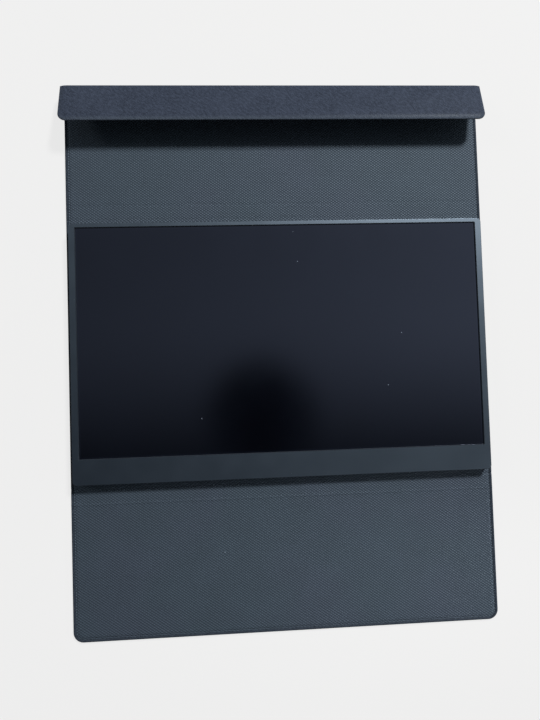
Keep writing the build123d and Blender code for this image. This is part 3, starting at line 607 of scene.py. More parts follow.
@dataclass(frozen=True)
class GrainedLeather(Finish):
    """Fine-grained coated leather on the outside of the cover, lighter on its edges from wear and a painted
    highlight, with painted shade and light on its turned edge.
    """

    scale: float = 1100.0
    depth: float = 0.00006
    strength: float = 0.8
    drift: Pair = (0.03, 0.04)
    grain_span: Pair = (0.2, 1.1)
    grain_shades: Pair = (0.75, 1.12)
    mottle_span: Span = (0.35, 0.7, 0.0, 0.3)
    mottle_shade: float = 1.4
    stroke_span: Span = (0.42, 0.68, 0.0, 0.5)
    stroke_shade: float = 1.7
    # lighter colour of the edges: partly wear, partly a painted highlight of the rounded edge
    rubbed_and_painted_light: Colour = (0.070, 0.079, 0.096)
    rubbed_and_painted_light_span: Span = (0.3, 0.6, 0.55, 1.0)
    rubbed_and_painted_light_share: float = 0.8
    rubbed_smooth: float = 0.06
    # painted shade and light on the leather's turned edge, mixed by the strokes' noise
    turned_painted_shade: Colour = (0.014, 0.0175, 0.0235)
    turned_painted_light: Colour = (0.045, 0.053, 0.064)
    turned_span: Pair = (-0.4, -0.9)
    turned_share: float = 0.85
    level: float = 0.02

    def dress(self, g: MaterialGraph) -> Feeds:
        """Adds the grain, its strokes of wear, edges lightened by wear and a painted highlight, and painted
        shade and light on the turned edge.

        Args:
            g: The material's graph.

        Returns:
            What each of the shader's inputs gets.
        """
        grain = g.effect(Effect.LEATHER_GRAIN, g.unrolled(), Scale=self.scale)
        height, mottle, strokes = grain["Height"], grain["Mottle"], grain["Strokes"]
        # attribute with each point's share of wear and painted highlight, and -1 on the turned edge
        handled_and_painted_light = g.add("ShaderNodeAttribute", attribute_name="rub").outputs["Fac"]
        turned = g.spread(handled_and_painted_light, *self.turned_span)
        patchy = g.spread(strokes, *self.rubbed_and_painted_light_span)
        rubbed_and_painted_light = g.math("MULTIPLY", g.math("MAXIMUM", handled_and_painted_light, 0.0), patchy)
        tone = self.tones(g, height, self.grain_span, self.grain_shades)
        tone = self.over(g, tone, mottle, self.mottle_span, self.mottle_shade)
        tone = self.over(g, tone, strokes, self.stroke_span, self.stroke_shade)
        # painted highlight: the edges are lightened partly by wear and partly by light painted into the
        # colour
        tone = g.mix(g.math("MULTIPLY", rubbed_and_painted_light, self.rubbed_and_painted_light_share), tone, self.rubbed_and_painted_light)
        # painted shade and light for the turned edge, in place of its own colour there
        edge = g.mix(strokes, self.turned_painted_shade, self.turned_painted_light)
        rough = self.uneven(g, mottle, self.drift)
        return {
            "Base Color": g.mix(g.math("MULTIPLY", turned, self.turned_share), tone, edge),
            "Roughness": g.math("MULTIPLY_ADD", rubbed_and_painted_light, -self.rubbed_smooth, rough),
            "Normal": g.bump(height, self.depth, self.strength),
            "Specular IOR Level": self.level,
        }


@dataclass(frozen=True)
class MouldedPlastic(Finish):
    """Moulded part with a fine spark-eroded texture, smoother and duller on its rounded edges."""

    scale: float = 1700.0
    depth: float = 0.00002
    strength: float = 0.7
    drift: Pair = (0.015, 0.015)
    specks: float = 0.5
    speck_shade: float = 2.2
    level: float = 0.5
    gloss: Colour = WHITE
    ior: float = 1.5
    edge_start: Pair = (0.995, 0.93)
    edge_end: Pair = (0.05, 0.3)
    edge_rough: float = 0.25
    edge_smooth: float = 0.9
    edge_dull: float = 0.6
    dust: Dust = Dust((0.35, 0.37, 0.40), scale=140.0, size=0.03)

    def dress(self, g: MaterialGraph) -> Feeds:
        """Adds the moulded texture, dust, and the mask of upward rounded edges.

        Args:
            g: The material's graph.

        Returns:
            What each of the shader's inputs gets.
        """
        place = g.place()
        skin = g.effect(Effect.MOULD_TEXTURE, place, Scale=self.scale)
        specks = g.math("MULTIPLY", skin["Specks"], self.specks)
        tone = g.mix(specks, self.colour, self.shade(self.speck_shade))
        tone, _ = g.dusty(tone, self.dust, place)
        _, _, up = g.axes(g.add("ShaderNodeNewGeometry").outputs["Normal"])
        edge = g.math("MULTIPLY", g.spread(up, *self.edge_start), g.spread(up, *self.edge_end))
        rough = self.uneven(g, skin["Mottle"], self.drift)
        flatter = g.math("MULTIPLY_ADD", edge, -self.edge_smooth, 1.0)
        height = g.math("MULTIPLY", skin["Height"], flatter)
        return {
            "Base Color": tone,
            "Roughness": g.math("MULTIPLY_ADD", edge, self.edge_rough, rough),
            "Normal": g.bump(height, self.depth, self.strength),
            "Specular IOR Level": g.math("MULTIPLY_ADD", edge, -self.edge_dull * self.level, self.level),
            "Specular Tint": self.gloss,
            "IOR": self.ior,
        }


@dataclass(frozen=True)
class DisplayGlass(Finish):
    """Dark glass over the switched-off display, with its black border."""

    active_width: float = 0.3442
    active_height: float = 0.1936
    centre_y: float = 0.00895
    fade: float = 0.0004
    line: float = 0.0013
    line_shade: float = 4.0
    line_share: float = 0.6
    border_shade: float = 0.25
    panel_scale: float = 14.0
    panel_shades: Pair = (0.85, 1.15)
    smear_scale: float = 30.0
    smear_span: Pair = (0.35, 0.7)
    haze: Pair = (0.004, 0.008)
    dust: Dust = Dust((0.30, 0.32, 0.36), cover=0.6, scale=62.0, size=0.022)
    dust_rough: float = 0.8
    level: float = 1.0
    gloss: Colour = (0.76, 0.77, 1.0)
    ior: float = 1.62

    def dress(self, g: MaterialGraph) -> Feeds:
        """Adds the active area with the fine line round it, the border, faint smears and dust.

        Args:
            g: The material's graph.

        Returns:
            What each of the shader's inputs gets.
        """
        place = g.place()
        x, y, _ = g.axes(place)
        across = g.math("SUBTRACT", self.active_width / 2, g.math("ABSOLUTE", x))
        from_centre = g.math("ABSOLUTE", g.math("SUBTRACT", y, self.centre_y))
        along = g.math("SUBTRACT", self.active_height / 2, from_centre)
        inside = g.math("MINIMUM", across, along)
        area = g.spread(inside, 0.0, self.fade)
        rim = g.math("MULTIPLY", area, g.spread(inside, self.fade, self.line, 1.0, 0.0))
        drift = g.noise(place, self.panel_scale, detail=2.0)
        panel = self.tones(g, drift, NOISE_SPAN, self.panel_shades)
        tone = g.mix(area, self.shade(self.border_shade), panel)
        tone = g.mix(g.math("MULTIPLY", rim, self.line_share), tone, self.shade(self.line_shade))
        tone, specks = g.dusty(tone, self.dust, place)
        smears = g.noise(place, self.smear_scale, detail=4.0, rough=0.65)
        clear, hazy = self.roughness - self.haze[0], self.roughness + self.haze[1]
        haze = g.spread(smears, *self.smear_span, clear, hazy)
        return {
            "Base Color": tone,
            "Roughness": g.math("MAXIMUM", haze, g.math("MULTIPLY", specks, self.dust_rough)),
            "Specular IOR Level": self.level,
            "Specular Tint": self.gloss,
            "IOR": self.ior,
        }


@dataclass(frozen=True)
class RolledMetal(Finish):
    """Stamped, rolled or plated metal."""

    scale: float = 900.0
    depth: float = 0.000008
    stain_span: Pair = (0.35, 0.75)
    stain_shades: Pair = (1.08, 0.72)
    stain_rough: float = 0.1
    line_rough: float = 0.16

    def dress(self, g: MaterialGraph) -> Feeds:
        """Adds rolling lines and stains.

        Args:
            g: The material's graph.

        Returns:
            What each of the shader's inputs gets.
        """
        lines = g.effect(Effect.DRAWN_LINES, g.place(), Scale=self.scale)
        height, stains = lines["Height"], lines["Stains"]
        rough = g.math("MULTIPLY_ADD", height, self.line_rough, self.roughness - self.line_rough / 2)
        return {
            "Base Color": self.tones(g, stains, self.stain_span, self.stain_shades),
            "Metallic": 1.0,
            "Roughness": g.math("MULTIPLY_ADD", stains, self.stain_rough, rough),
            "Normal": g.bump(height, self.depth),
        }


@dataclass(frozen=True)
class ThinFilm(Finish):
    """Sheet, ribbon or film with fine drawn lines, and with tracks or lamps where it has a stripe."""

    lines: float = 1500.0
    depth: float = 0.000006
    drift: Pair = (0.05, 0.08)
    shades: Pair = (0.9, 1.06)
    stripe: float = 0.0
    stripe_span: Span = (0.1, 0.5, 0.0, 0.7)
    stripe_shade: float = 0.45
    sheen: float = 0.3

    def dress(self, g: MaterialGraph) -> Feeds:
        """Adds the film's lines, and its stripes where it has them.

        Args:
            g: The material's graph.

        Returns:
            What each of the shader's inputs gets.
        """
        place = g.place()
        drawn = g.effect(Effect.DRAWN_LINES, place, Scale=self.lines)
        tone = self.tones(g, drawn["Stains"], NOISE_SPAN, self.shades)
        if self.stripe:
            x, y, _ = g.axes(place)
            wave = g.math("SINE", g.math("MULTIPLY", g.math("ADD", x, y), FULL_TURN / self.stripe))
            tone = self.over(g, tone, wave, self.stripe_span, self.stripe_shade)
        return {
            "Base Color": tone,
            "Roughness": self.uneven(g, drawn["Height"], self.drift),
            "Normal": g.bump(drawn["Height"], self.depth),
            "Coat Weight": self.sheen,
        }


@dataclass(frozen=True)
class BoardLaminate(Finish):
    """Printed circuit board with tracks under its mask."""

    copper: Colour = (0.05, 0.16, 0.07)
    gold: Colour = (0.55, 0.42, 0.2)
    depth: float = 0.00003
    drift: Pair = (0.05, 0.1)
    track_scale: float = 420.0
    track_span: Pair = (0.28, 0.36)
    pad_scale: float = 330.0
    pad_span: Pair = (0.1, 0.14)
    pad_share: float = 0.9
    pad_metal: float = 0.85

    def dress(self, g: MaterialGraph) -> Feeds:
        """Adds tracks, bare pads and the mask.

        Args:
            g: The material's graph.

        Returns:
            What each of the shader's inputs gets.
        """
        place = g.place()
        routes = g.cells(place, self.track_scale, distance="CHEBYCHEV").outputs["Distance"]
        tracks = g.spread(routes, *self.track_span)
        rounds = g.cells(place, self.pad_scale).outputs["Distance"]
        pads = g.spread(rounds, *self.pad_span, 1.0, 0.0)
        tone = g.mix(tracks, self.colour, self.copper)
        mottle = g.effect(Effect.MOULD_TEXTURE, place)["Mottle"]
        return {
            "Base Color": g.mix(g.math("MULTIPLY", pads, self.pad_share), tone, self.gold),
            "Metallic": g.math("MULTIPLY", pads, self.pad_metal),
            "Roughness": self.uneven(g, mottle, self.drift),
            "Normal": g.bump(tracks, self.depth),
        }


@dataclass(frozen=True)
class FibreOrFoam(Finish):
    """Pressed fibre, foam or cloth with an open, uneven surface."""

    scale: float = 1400.0
    depth: float = 0.00008
    drift: Pair = (0.04, 0.05)
    grain_span: Pair = (0.2, 1.2)
    grain_shades: Pair = (0.6, 1.15)
    mottle_span: Span = (0.4, 0.7, 0.0, 0.4)
    mottle_shade: float = 0.75

    def dress(self, g: MaterialGraph) -> Feeds:
        """Adds pores and fibres.

        Args:
            g: The material's graph.

        Returns:
            What each of the shader's inputs gets.
        """
        grain = g.effect(Effect.LEATHER_GRAIN, g.place(), Scale=self.scale)
        height, mottle = grain["Height"], grain["Mottle"]
        tone = self.tones(g, height, self.grain_span, self.grain_shades)
        return {
            "Base Color": self.over(g, tone, mottle, self.mottle_span, self.mottle_shade),
            "Roughness": self.uneven(g, mottle, self.drift),
            "Normal": g.bump(height, self.depth),
        }


FINISHES: tuple[Finish, ...] = (
    GrainedLeather("leather", (0.0322, 0.0364, 0.0502), 0.33),
    WovenLining("woven_lining", (0.0248, 0.0327, 0.0425), 0.58),
    FibreOrFoam("fibre_board", (0.30, 0.24, 0.17), 0.9, scale=700.0),
    RolledMetal("plate_steel", (0.52, 0.53, 0.55), 0.35),
    RolledMetal("magnet_nickel", (0.68, 0.67, 0.64), 0.22, scale=500.0),
    MouldedPlastic("housing_plastic", (0.013, 0.016, 0.021), 0.46),
    MouldedPlastic("bezel_plastic", (0.0010, 0.0018, 0.0040), 0.415, depth=0.000008, specks=0.4,
                   level=1.0, ior=1.62, gloss=(0.74, 0.85, 0.97)),
    MouldedPlastic("key_plastic", (0.026, 0.028, 0.033), 0.4),
    DisplayGlass("screen_glass", (0.0010, 0.0012, 0.0022), 0.11),
    ThinFilm("clear_acrylic", (0.72, 0.78, 0.80), 0.12, lines=300.0, sheen=0.6),
    ThinFilm("white_film", (0.84, 0.85, 0.83), 0.35, lines=1100.0),
    RolledMetal("tray_aluminium", (0.74, 0.75, 0.76), 0.34, scale=1300.0),
    BoardLaminate("circuit_board", (0.015, 0.085, 0.04), 0.38),
    ThinFilm("led_ribbon", (0.82, 0.72, 0.42), 0.4, stripe=0.004),
    ThinFilm("amber_film", (0.60, 0.26, 0.04), 0.3, stripe=0.0012),
    MouldedPlastic("black_component", (0.018, 0.018, 0.020), 0.5, depth=0.00003),
    MouldedPlastic("connector_plastic", (0.78, 0.74, 0.62), 0.45, specks=0.15),
    RolledMetal("socket_steel", (0.62, 0.62, 0.60), 0.28, scale=1500.0),
    ThinFilm("white_ribbon", (0.80, 0.81, 0.80), 0.42, stripe=0.001),
    MouldedPlastic("wire_cover", (0.35, 0.03, 0.025), 0.45, specks=0.1),
    MouldedPlastic("speaker_plastic", (0.03, 0.03, 0.033), 0.42),
    FibreOrFoam("foam", (0.045, 0.045, 0.05), 0.95, scale=2600.0),
    FibreOrFoam("screen_cloth", (0.03, 0.03, 0.033), 0.85, scale=3200.0, depth=0.00005),
    RolledMetal("screw_steel", (0.10, 0.10, 0.11), 0.3, scale=2000.0),
)


class Wardrobe:
    """All materials by their slot in the record."""

    def __init__(self) -> None:
        """Makes the shared groups and one material for each finish."""
        groups = EffectMaker().build()
        self.materials = {made.slot: make_material(made.slot, groups, made.dress) for made in FINISHES}

    def dress_nodes(self, frame: dict) -> None:
        """Gives every CAD node the material of its slot.
        """
        for name, node in frame["nodes"].items():
            given = [slot.name.split(".")[0] for slot in node.data.materials if slot is not None]
            known = [slot for slot in given if slot in self.materials]
            for index, slot in enumerate(known):
                node.data.materials[index] = self.materials[slot]
            log.info("node %s wears %s", name, ", ".join(known))


# ---------------------------------------------------------------- objects and meshes


def show(name: str, data: bpy.types.ID, material: bpy.types.Material | None = None) -> bpy.types.Object:
    """Puts an object into the scene, with its place already in its points.

    Args:
        name: The object's name.
        data: Its mesh, light or camera.
        material: The material that it gets, unless its mesh has one.

    Returns:
        The new object.
    """
    made = bpy.data.objects.new(name, data)
    if material and not data.materials:
        data.materials.append(material)
    bpy.context.scene.collection.objects.link(made)
    log.info("%s %s is in the scene", made.type.lower(), name)
    return made


def keep_mesh(shape: bmesh.types.BMesh, name: str) -> bpy.types.Mesh:
    """Keeps a finished shape as a mesh.

    Args:
        shape: The shape, which is freed.
        name: The mesh's name.

    Returns:
        The new mesh.
    """
    data = bpy.data.meshes.new(name)
    shape.to_mesh(data)
    shape.free()
    return data


def eased(first: float, last: float, share: float) -> float:
    """Returns a value between two, with a slow start and a slow end."""
    return first + (last - first) * share * share * (3 - 2 * share)


# ---------------------------------------------------------------- folding cover


class Layer(Enum):
    """The two skins of the cover, by the slot that each wears."""

    LEATHER = "leather"
    LINING = "woven_lining"


@dataclass(frozen=True)
class Stretch:
    """A stretch of the cover's middle line in the YZ plane, straight or bent, as it lies at rest."""

    start: Pair
    heading: float
    length: float
    station: float
    bend: float = 0.0
    sense: int = 1

    def at(self, t: float) -> tuple[Vector, Vector]:
        """Finds the middle line's point and its normal on the lining's side.

        Args:
            t: Distance along the stretch, in millimetres.

        Returns:
            The point in millimetres and the unit normal, both in 3-D with x 0.
        """
        y, z = self.start
        if self.bend:
            radius = self.length / self.bend
            turned = self.heading + self.bend * t / self.length
            y += radius * (math.sin(turned) - math.sin(self.heading))
            z += radius * (math.cos(self.heading) - math.cos(turned))
        else:
            turned = self.heading
            y += t * math.cos(turned)
            z += t * math.sin(turned)
        side = self.sense
        return Vector((0.0, y, z)), Vector((0.0, -math.sin(turned) * side, math.cos(turned) * side))


@dataclass(frozen=True)
class LeafEdge:
    """How the cover's edges are formed, in millimetres."""

    full: float = 2.4
    skin: float = 0.7
    ring: float = 6.0
    wall: float = 2.35
    shelf: float = 3.8
    back_gap: float = 0.04
    rub_reach: float = 3.4
    rub_fall: float = 0.6
    slope: tuple[Pair, ...] = ((4.8, 0.02), (3.8, 0.08), (3.0, 0.19), (2.2, 0.36), (1.4, 0.57), (0.7, 0.8))
    turn: tuple[Pair, ...] = ((0.25, 1.02), (0.05, 1.22), (0.0, 1.4))
    lip: tuple[Pair, ...] = ((0.0, 0.75), (0.08, 0.52), (0.25, 0.38), (0.7, 0.30), (1.5, 0.32))
    lip_drop: float = 0.56
    rim: tuple[Pair, ...] = ((0.04, 0.5), (0.11, 0.32), (0.25, 0.2), (0.45, 0.19), (0.65, 0.28), (0.85, 0.4))
    groove: tuple[Pair, ...] = ((1.05, 0.4), (1.3, 0.24), (1.6, 0.08), (2.0, 0.0))

    def section(self, layer: Layer, thick: float) -> Section:
        """Lists a layer's section, from the middle of its outer face round the edge to that of its inner one.

        Args:
            layer: Leather or lining.
            thick: The cover's thickness there.

        Returns:
            Pairs of inset from the outline and height over the middle line.
        """
        low, high, k = -thick / 2, thick / 2, thick / self.full
        if layer is Layer.LEATHER:
            outside = [(inset, low + rise * k) for inset, rise in ((self.ring, 0.0), *self.slope, *self.turn)]
            inside = [(inset, high - drop * k) for inset, drop in (*self.lip, (self.wall, self.lip_drop))]
            shelf = [(self.wall, high - self.skin), (self.shelf, high - self.skin)]
            return outside + inside + shelf + [(self.shelf, low + self.skin), (self.ring, low + self.skin)]
        back = high - self.skin
        pressed = [(self.wall + inset, high - drop * k) for inset, drop in self.rim + self.groove]
        return [(self.ring, back), (self.wall + self.back_gap, back), *pressed, (self.ring, high)]

    def rub(self, inset: float, amount: float) -> float:
        """Returns the leather's share of wear and painted highlight at an inset from an outline that has an
        amount of them.
        """
        return amount * max(0.0, 1.0 - inset / self.rub_reach) ** self.rub_fall


@dataclass(frozen=True)
class CoverPart:
    """A part of the cover over one stretch, with leather outside and lining inside, in millimetres."""

    name: str
    stretch: Stretch
    thick: Pair = (2.4, 2.4)
    corner: float = 0.0
    # share of wear and painted highlight on the leather along the sides and across the far end
    rub: Pair = (0.12, 0.12)

    def depth(self, t: float) -> float:
        """Returns the cover's thickness at a distance from the part's start."""
        raise NotImplementedError

    def pressed(self, t: float) -> float:
        """Returns how far both faces are pressed in at a distance from the part's start."""
        raise NotImplementedError

    def rows(self) -> list[float]:
        """Returns the distances of its rows of points, up to where a corner starts."""
        raise NotImplementedError


@dataclass(frozen=True, kw_only=True)
class Leaf(CoverPart):
    """A flat leaf of the cover, whose thickness swells from its open end."""

    body: str
    swell: float = 3.0
    swell_rows: int = 6
    row_step: float = 12.0

    def depth(self, t: float) -> float:
        """Returns the leaf's thickness at a distance from its start."""
        return eased(*self.thick, min(t / self.swell, 1.0))

    def pressed(self, t: float) -> float:
        """Returns 0, as no leaf has a pressed line."""
        return 0.0

    def rows(self) -> list[float]:
        """Lists the distances of its rows, closer together where it swells.

        Returns:
            The distances from its start up to where a corner starts.
        """
        reach = self.stretch.length - self.corner
        steps = max(2, round(reach / self.row_step))
        swells = self.thick[0] != self.thick[1]
        first = [self.swell * k / self.swell_rows for k in range(self.swell_rows)] if swells else [0.0]
        return first + [first[-1] + (reach - first[-1]) * k / steps for k in range(1, steps + 1)]


@dataclass(frozen=True, kw_only=True)
class Crease(CoverPart):
    """A bending part between two leaves, without a board, with a pressed or raised line."""

    bodies: tuple[str, str]
    dip: float
    narrow: int
    steps: int = 16

    @property
    def start(self) -> Vec3:
        """Returns where it starts, in metres."""
        return tuple(self.stretch.at(0.0)[0] * MM)

    @property
    def end(self) -> Vec3:
        """Returns where it ends, in metres."""
        return tuple(self.stretch.at(self.stretch.length)[0] * MM)

    def depth(self, t: float) -> float:
        """Returns the crease's thickness at a distance from its start."""
        return eased(*self.thick, t / self.stretch.length)

    def pressed(self, t: float) -> float:
        """Returns how far its line is pressed in, or raised where negative, at a distance from its start."""
        return self.dip * math.sin(math.pi * t / self.stretch.length) ** self.narrow

    def rows(self) -> list[float]:
        """Returns the distances of its rows, evenly apart."""
        return [self.stretch.length * k / self.steps for k in range(self.steps + 1)]


class CoverSheet:
    """The closed mesh of one layer over one part of the cover."""

    COLUMNS = 30
    CORNER_TURNS = tuple(math.radians(degrees) for degrees in range(10, 91, 10))
    BACK_SHARE = 0.8
    OUTSIDE_LEVEL = 0.5
    # mark of the leather's turned edge, which gets painted shade and light
    TURNED_EDGE = -1.0

    def __init__(self, part: CoverPart, layer: Layer, edge: LeafEdge, half_width: float) -> None:
        """Starts the mesh.

        Args:
            part: The part of the cover.
            layer: Leather or lining.
            edge: How its edges are formed.
            half_width: From the cover's middle to its outline, in millimetres.
        """
        self.part, self.layer, self.edge, self.half_width = part, layer, edge, half_width
        self.shape = bmesh.new()
        self.unrolled = self.shape.loops.layers.uv.new("cover")
        # per point: share of wear and painted highlight on the leather; -1 marks the turned edge, which gets
        # painted shade and light
        self.marked_tone = self.shape.verts.layers.float.new("rub")
        self.flat: dict[bmesh.types.BMVert, Pair] = {}

    def build(self, name: str) -> bpy.types.Mesh:
        """Builds the rings of points round the edge, both faces, and the caps at the open ends.

        Args:
            name: The mesh's name.

        Returns:
            The finished mesh.
        """
        rings = [self._ring(index) for index in range(len(self._section(self.edge.full)))]
        for one, two in zip(rings, rings[1:]):
            for path, other in zip(self._paths(*one), self._paths(*two)):
                self._quads(path, other)
        faces = [self._face(index, *rings[index]) for index in (0, len(rings) - 1)]
        for end in ([0] if self.part.corner else [0, -1]):
            left, right = ([ring[side][end] for ring in rings] for side in (0, 2))
            lower, upper = (face[end][1:-1] for face in faces)
            cap = self.shape.faces.new(left + upper + right[::-1] + lower[::-1])
            for rim in cap.edges:
                rim.smooth = False
        bmesh.ops.recalc_face_normals(self.shape, faces=self.shape.faces)
        for face in self.shape.faces:
            face.smooth = len(face.verts) == 4
            for loop in face.loops:
                loop[self.unrolled].uv = self.flat[loop.vert]
        return keep_mesh(self.shape, name)

    def _section(self, thick: float) -> Section:
        """Returns this layer's section at a thickness."""
        return self.edge.section(self.layer, thick)

    def _height(self, index: int, t: float) -> float:
        """Finds the height of a point over the middle line. The outer face follows a pressed line less.

        Args:
            index: Number of the point in the section.
            t: Its distance along the part.

        Returns:
            The height in millimetres.
        """
        height, push = self._section(self.part.depth(t))[index][1], self.part.pressed(t)
        if self.layer is Layer.LEATHER and height < 0.0:
            return height + self.BACK_SHARE * max(push, 0.0)
        return height - push

    def _outline(self, inset: float) -> Section:
        """Lists the outline at an inset.

        Args:
            inset: How far inside the cover's outline.

        Returns:
            Pairs of half width and distance, along the side and round the far corner.
        """
        corner, rows = self.part.corner, self.part.rows()
        sides = [(self.half_width - inset, t) for t in rows]
        if corner:
            middle, radius = self.half_width - corner, corner - inset
            sides += [(middle + radius * math.cos(a), rows[-1] + radius * math.sin(a))
                      for a in self.CORNER_TURNS]
        return sides

    def _point(self, x: float, t: float, index: int, rubbed_and_painted_light: float = 0.0) -> bmesh.types.BMVert:
        """Adds a point.

        Args:
            x: Its place across the cover.
            t: Its distance along the part.
            index: Its number in the section.
            rubbed_and_painted_light: The leather's share of wear and painted highlight there; on its turned
                edge, the mark for painted shade and light.

        Returns:
            The point.
        """
        stretch = self.part.stretch
        middle, normal = stretch.at(t)
        spot = middle + normal * self._height(index, t)
        vert = self.shape.verts.new((x * MM, spot.y * MM, spot.z * MM))
        vert[self.marked_tone] = rubbed_and_painted_light
        self.flat[vert] = (x * MM, (stretch.station + stretch.sense * t) * MM)
        return vert

    def _across(self, wide: float, t: float, index: int, rubbed_and_painted_light: float = 0.0) -> Points:
        """Adds a row of points across, without its two ends.

        Args:
            wide: Half the row's width.
            t: Its distance along the part.
            index: Its number in the section.
            rubbed_and_painted_light: The leather's share of wear and painted highlight there; on its turned
                edge, the mark for painted shade and light.

        Returns:
            The points from left to right.
        """
        return [self._point(-wide + 2 * wide * k / self.COLUMNS, t, index, rubbed_and_painted_light)
                for k in range(1, self.COLUMNS)]

    def _ring(self, index: int) -> tuple[Points, Points, Points]:
        """Adds the points of one number of the section all round the part.

        Args:
            index: The number.

        Returns:
            The points up the left side, across the far end where it is closed, and up the right side.
        """
        inset, level = self._section(self.edge.full)[index]
        outside = self.layer is Layer.LEATHER and level < self.OUTSIDE_LEVEL
        sides, side_rub_and_painted_light, far_rub_and_painted_light = self._outline(inset), *self.part.rub
        corner, straight = self.part.corner, self.part.rows()[-1]

        def rubbed_and_painted_light(amount: float) -> float:
            """Returns the ring's share of wear and painted highlight beside an outline that has an amount; on
            the turned edge, the mark for painted shade and light.
            """
            return self.edge.rub(inset, amount) if outside else self.TURNED_EDGE

        def amount_at(t: float) -> float:
            """Returns the outline's amount of wear and painted highlight at a distance, as it changes round
            the corner.
            """
            change = (far_rub_and_painted_light - side_rub_and_painted_light) * max(0.0, t - straight) / corner if corner else 0.0
            return side_rub_and_painted_light + change

        rubs_and_painted_light = [rubbed_and_painted_light(amount_at(t)) for _, t in sides]
        left = [self._point(-x, t, index, rub) for (x, t), rub in zip(sides, rubs_and_painted_light)]
        right = [self._point(x, t, index, rub) for (x, t), rub in zip(sides, rubs_and_painted_light)]
        far = self._across(*sides[-1], index, rubbed_and_painted_light(far_rub_and_painted_light)) if corner else []
        return left, far, right

    def _face(self, index: int, left: Points, far: Points, right: Points) -> list[Points]:
        """Fills the face inside a ring.

        Args:
            index: The ring's number in the section.
            left: The ring's points up the left side.
            far: Its points across the far end, if that is closed.
            right: Its points up the right side.

        Returns:
            The face's rows of points from the open end on.
        """
        sides = self._outline(self._section(self.edge.full)[index][0])
        open_rows = len(sides) - 1 if far else len(sides)
        middles = [self._across(wide, t, index) for wide, t in sides[:open_rows]] + ([far] if far else [])
        grid = [[one, *middle, two] for one, middle, two in zip(left, middles, right)]
        for row, following in zip(grid, grid[1:]):
            self._quads(row, following)
        return grid

    @staticmethod
    def _paths(left: Points, far: Points, right: Points) -> list[Points]:
        """Returns a ring as one path round the closed end, or as two where both ends are open."""
        return [left + far + right[::-1]] if far else [left, right[::-1]]

    def _quads(self, one: Points, two: Points) -> None:
        """Joins two rows of points with faces."""
        for k in range(len(one) - 1):
            self.shape.faces.new((one[k], one[k + 1], two[k + 1], two[k]))


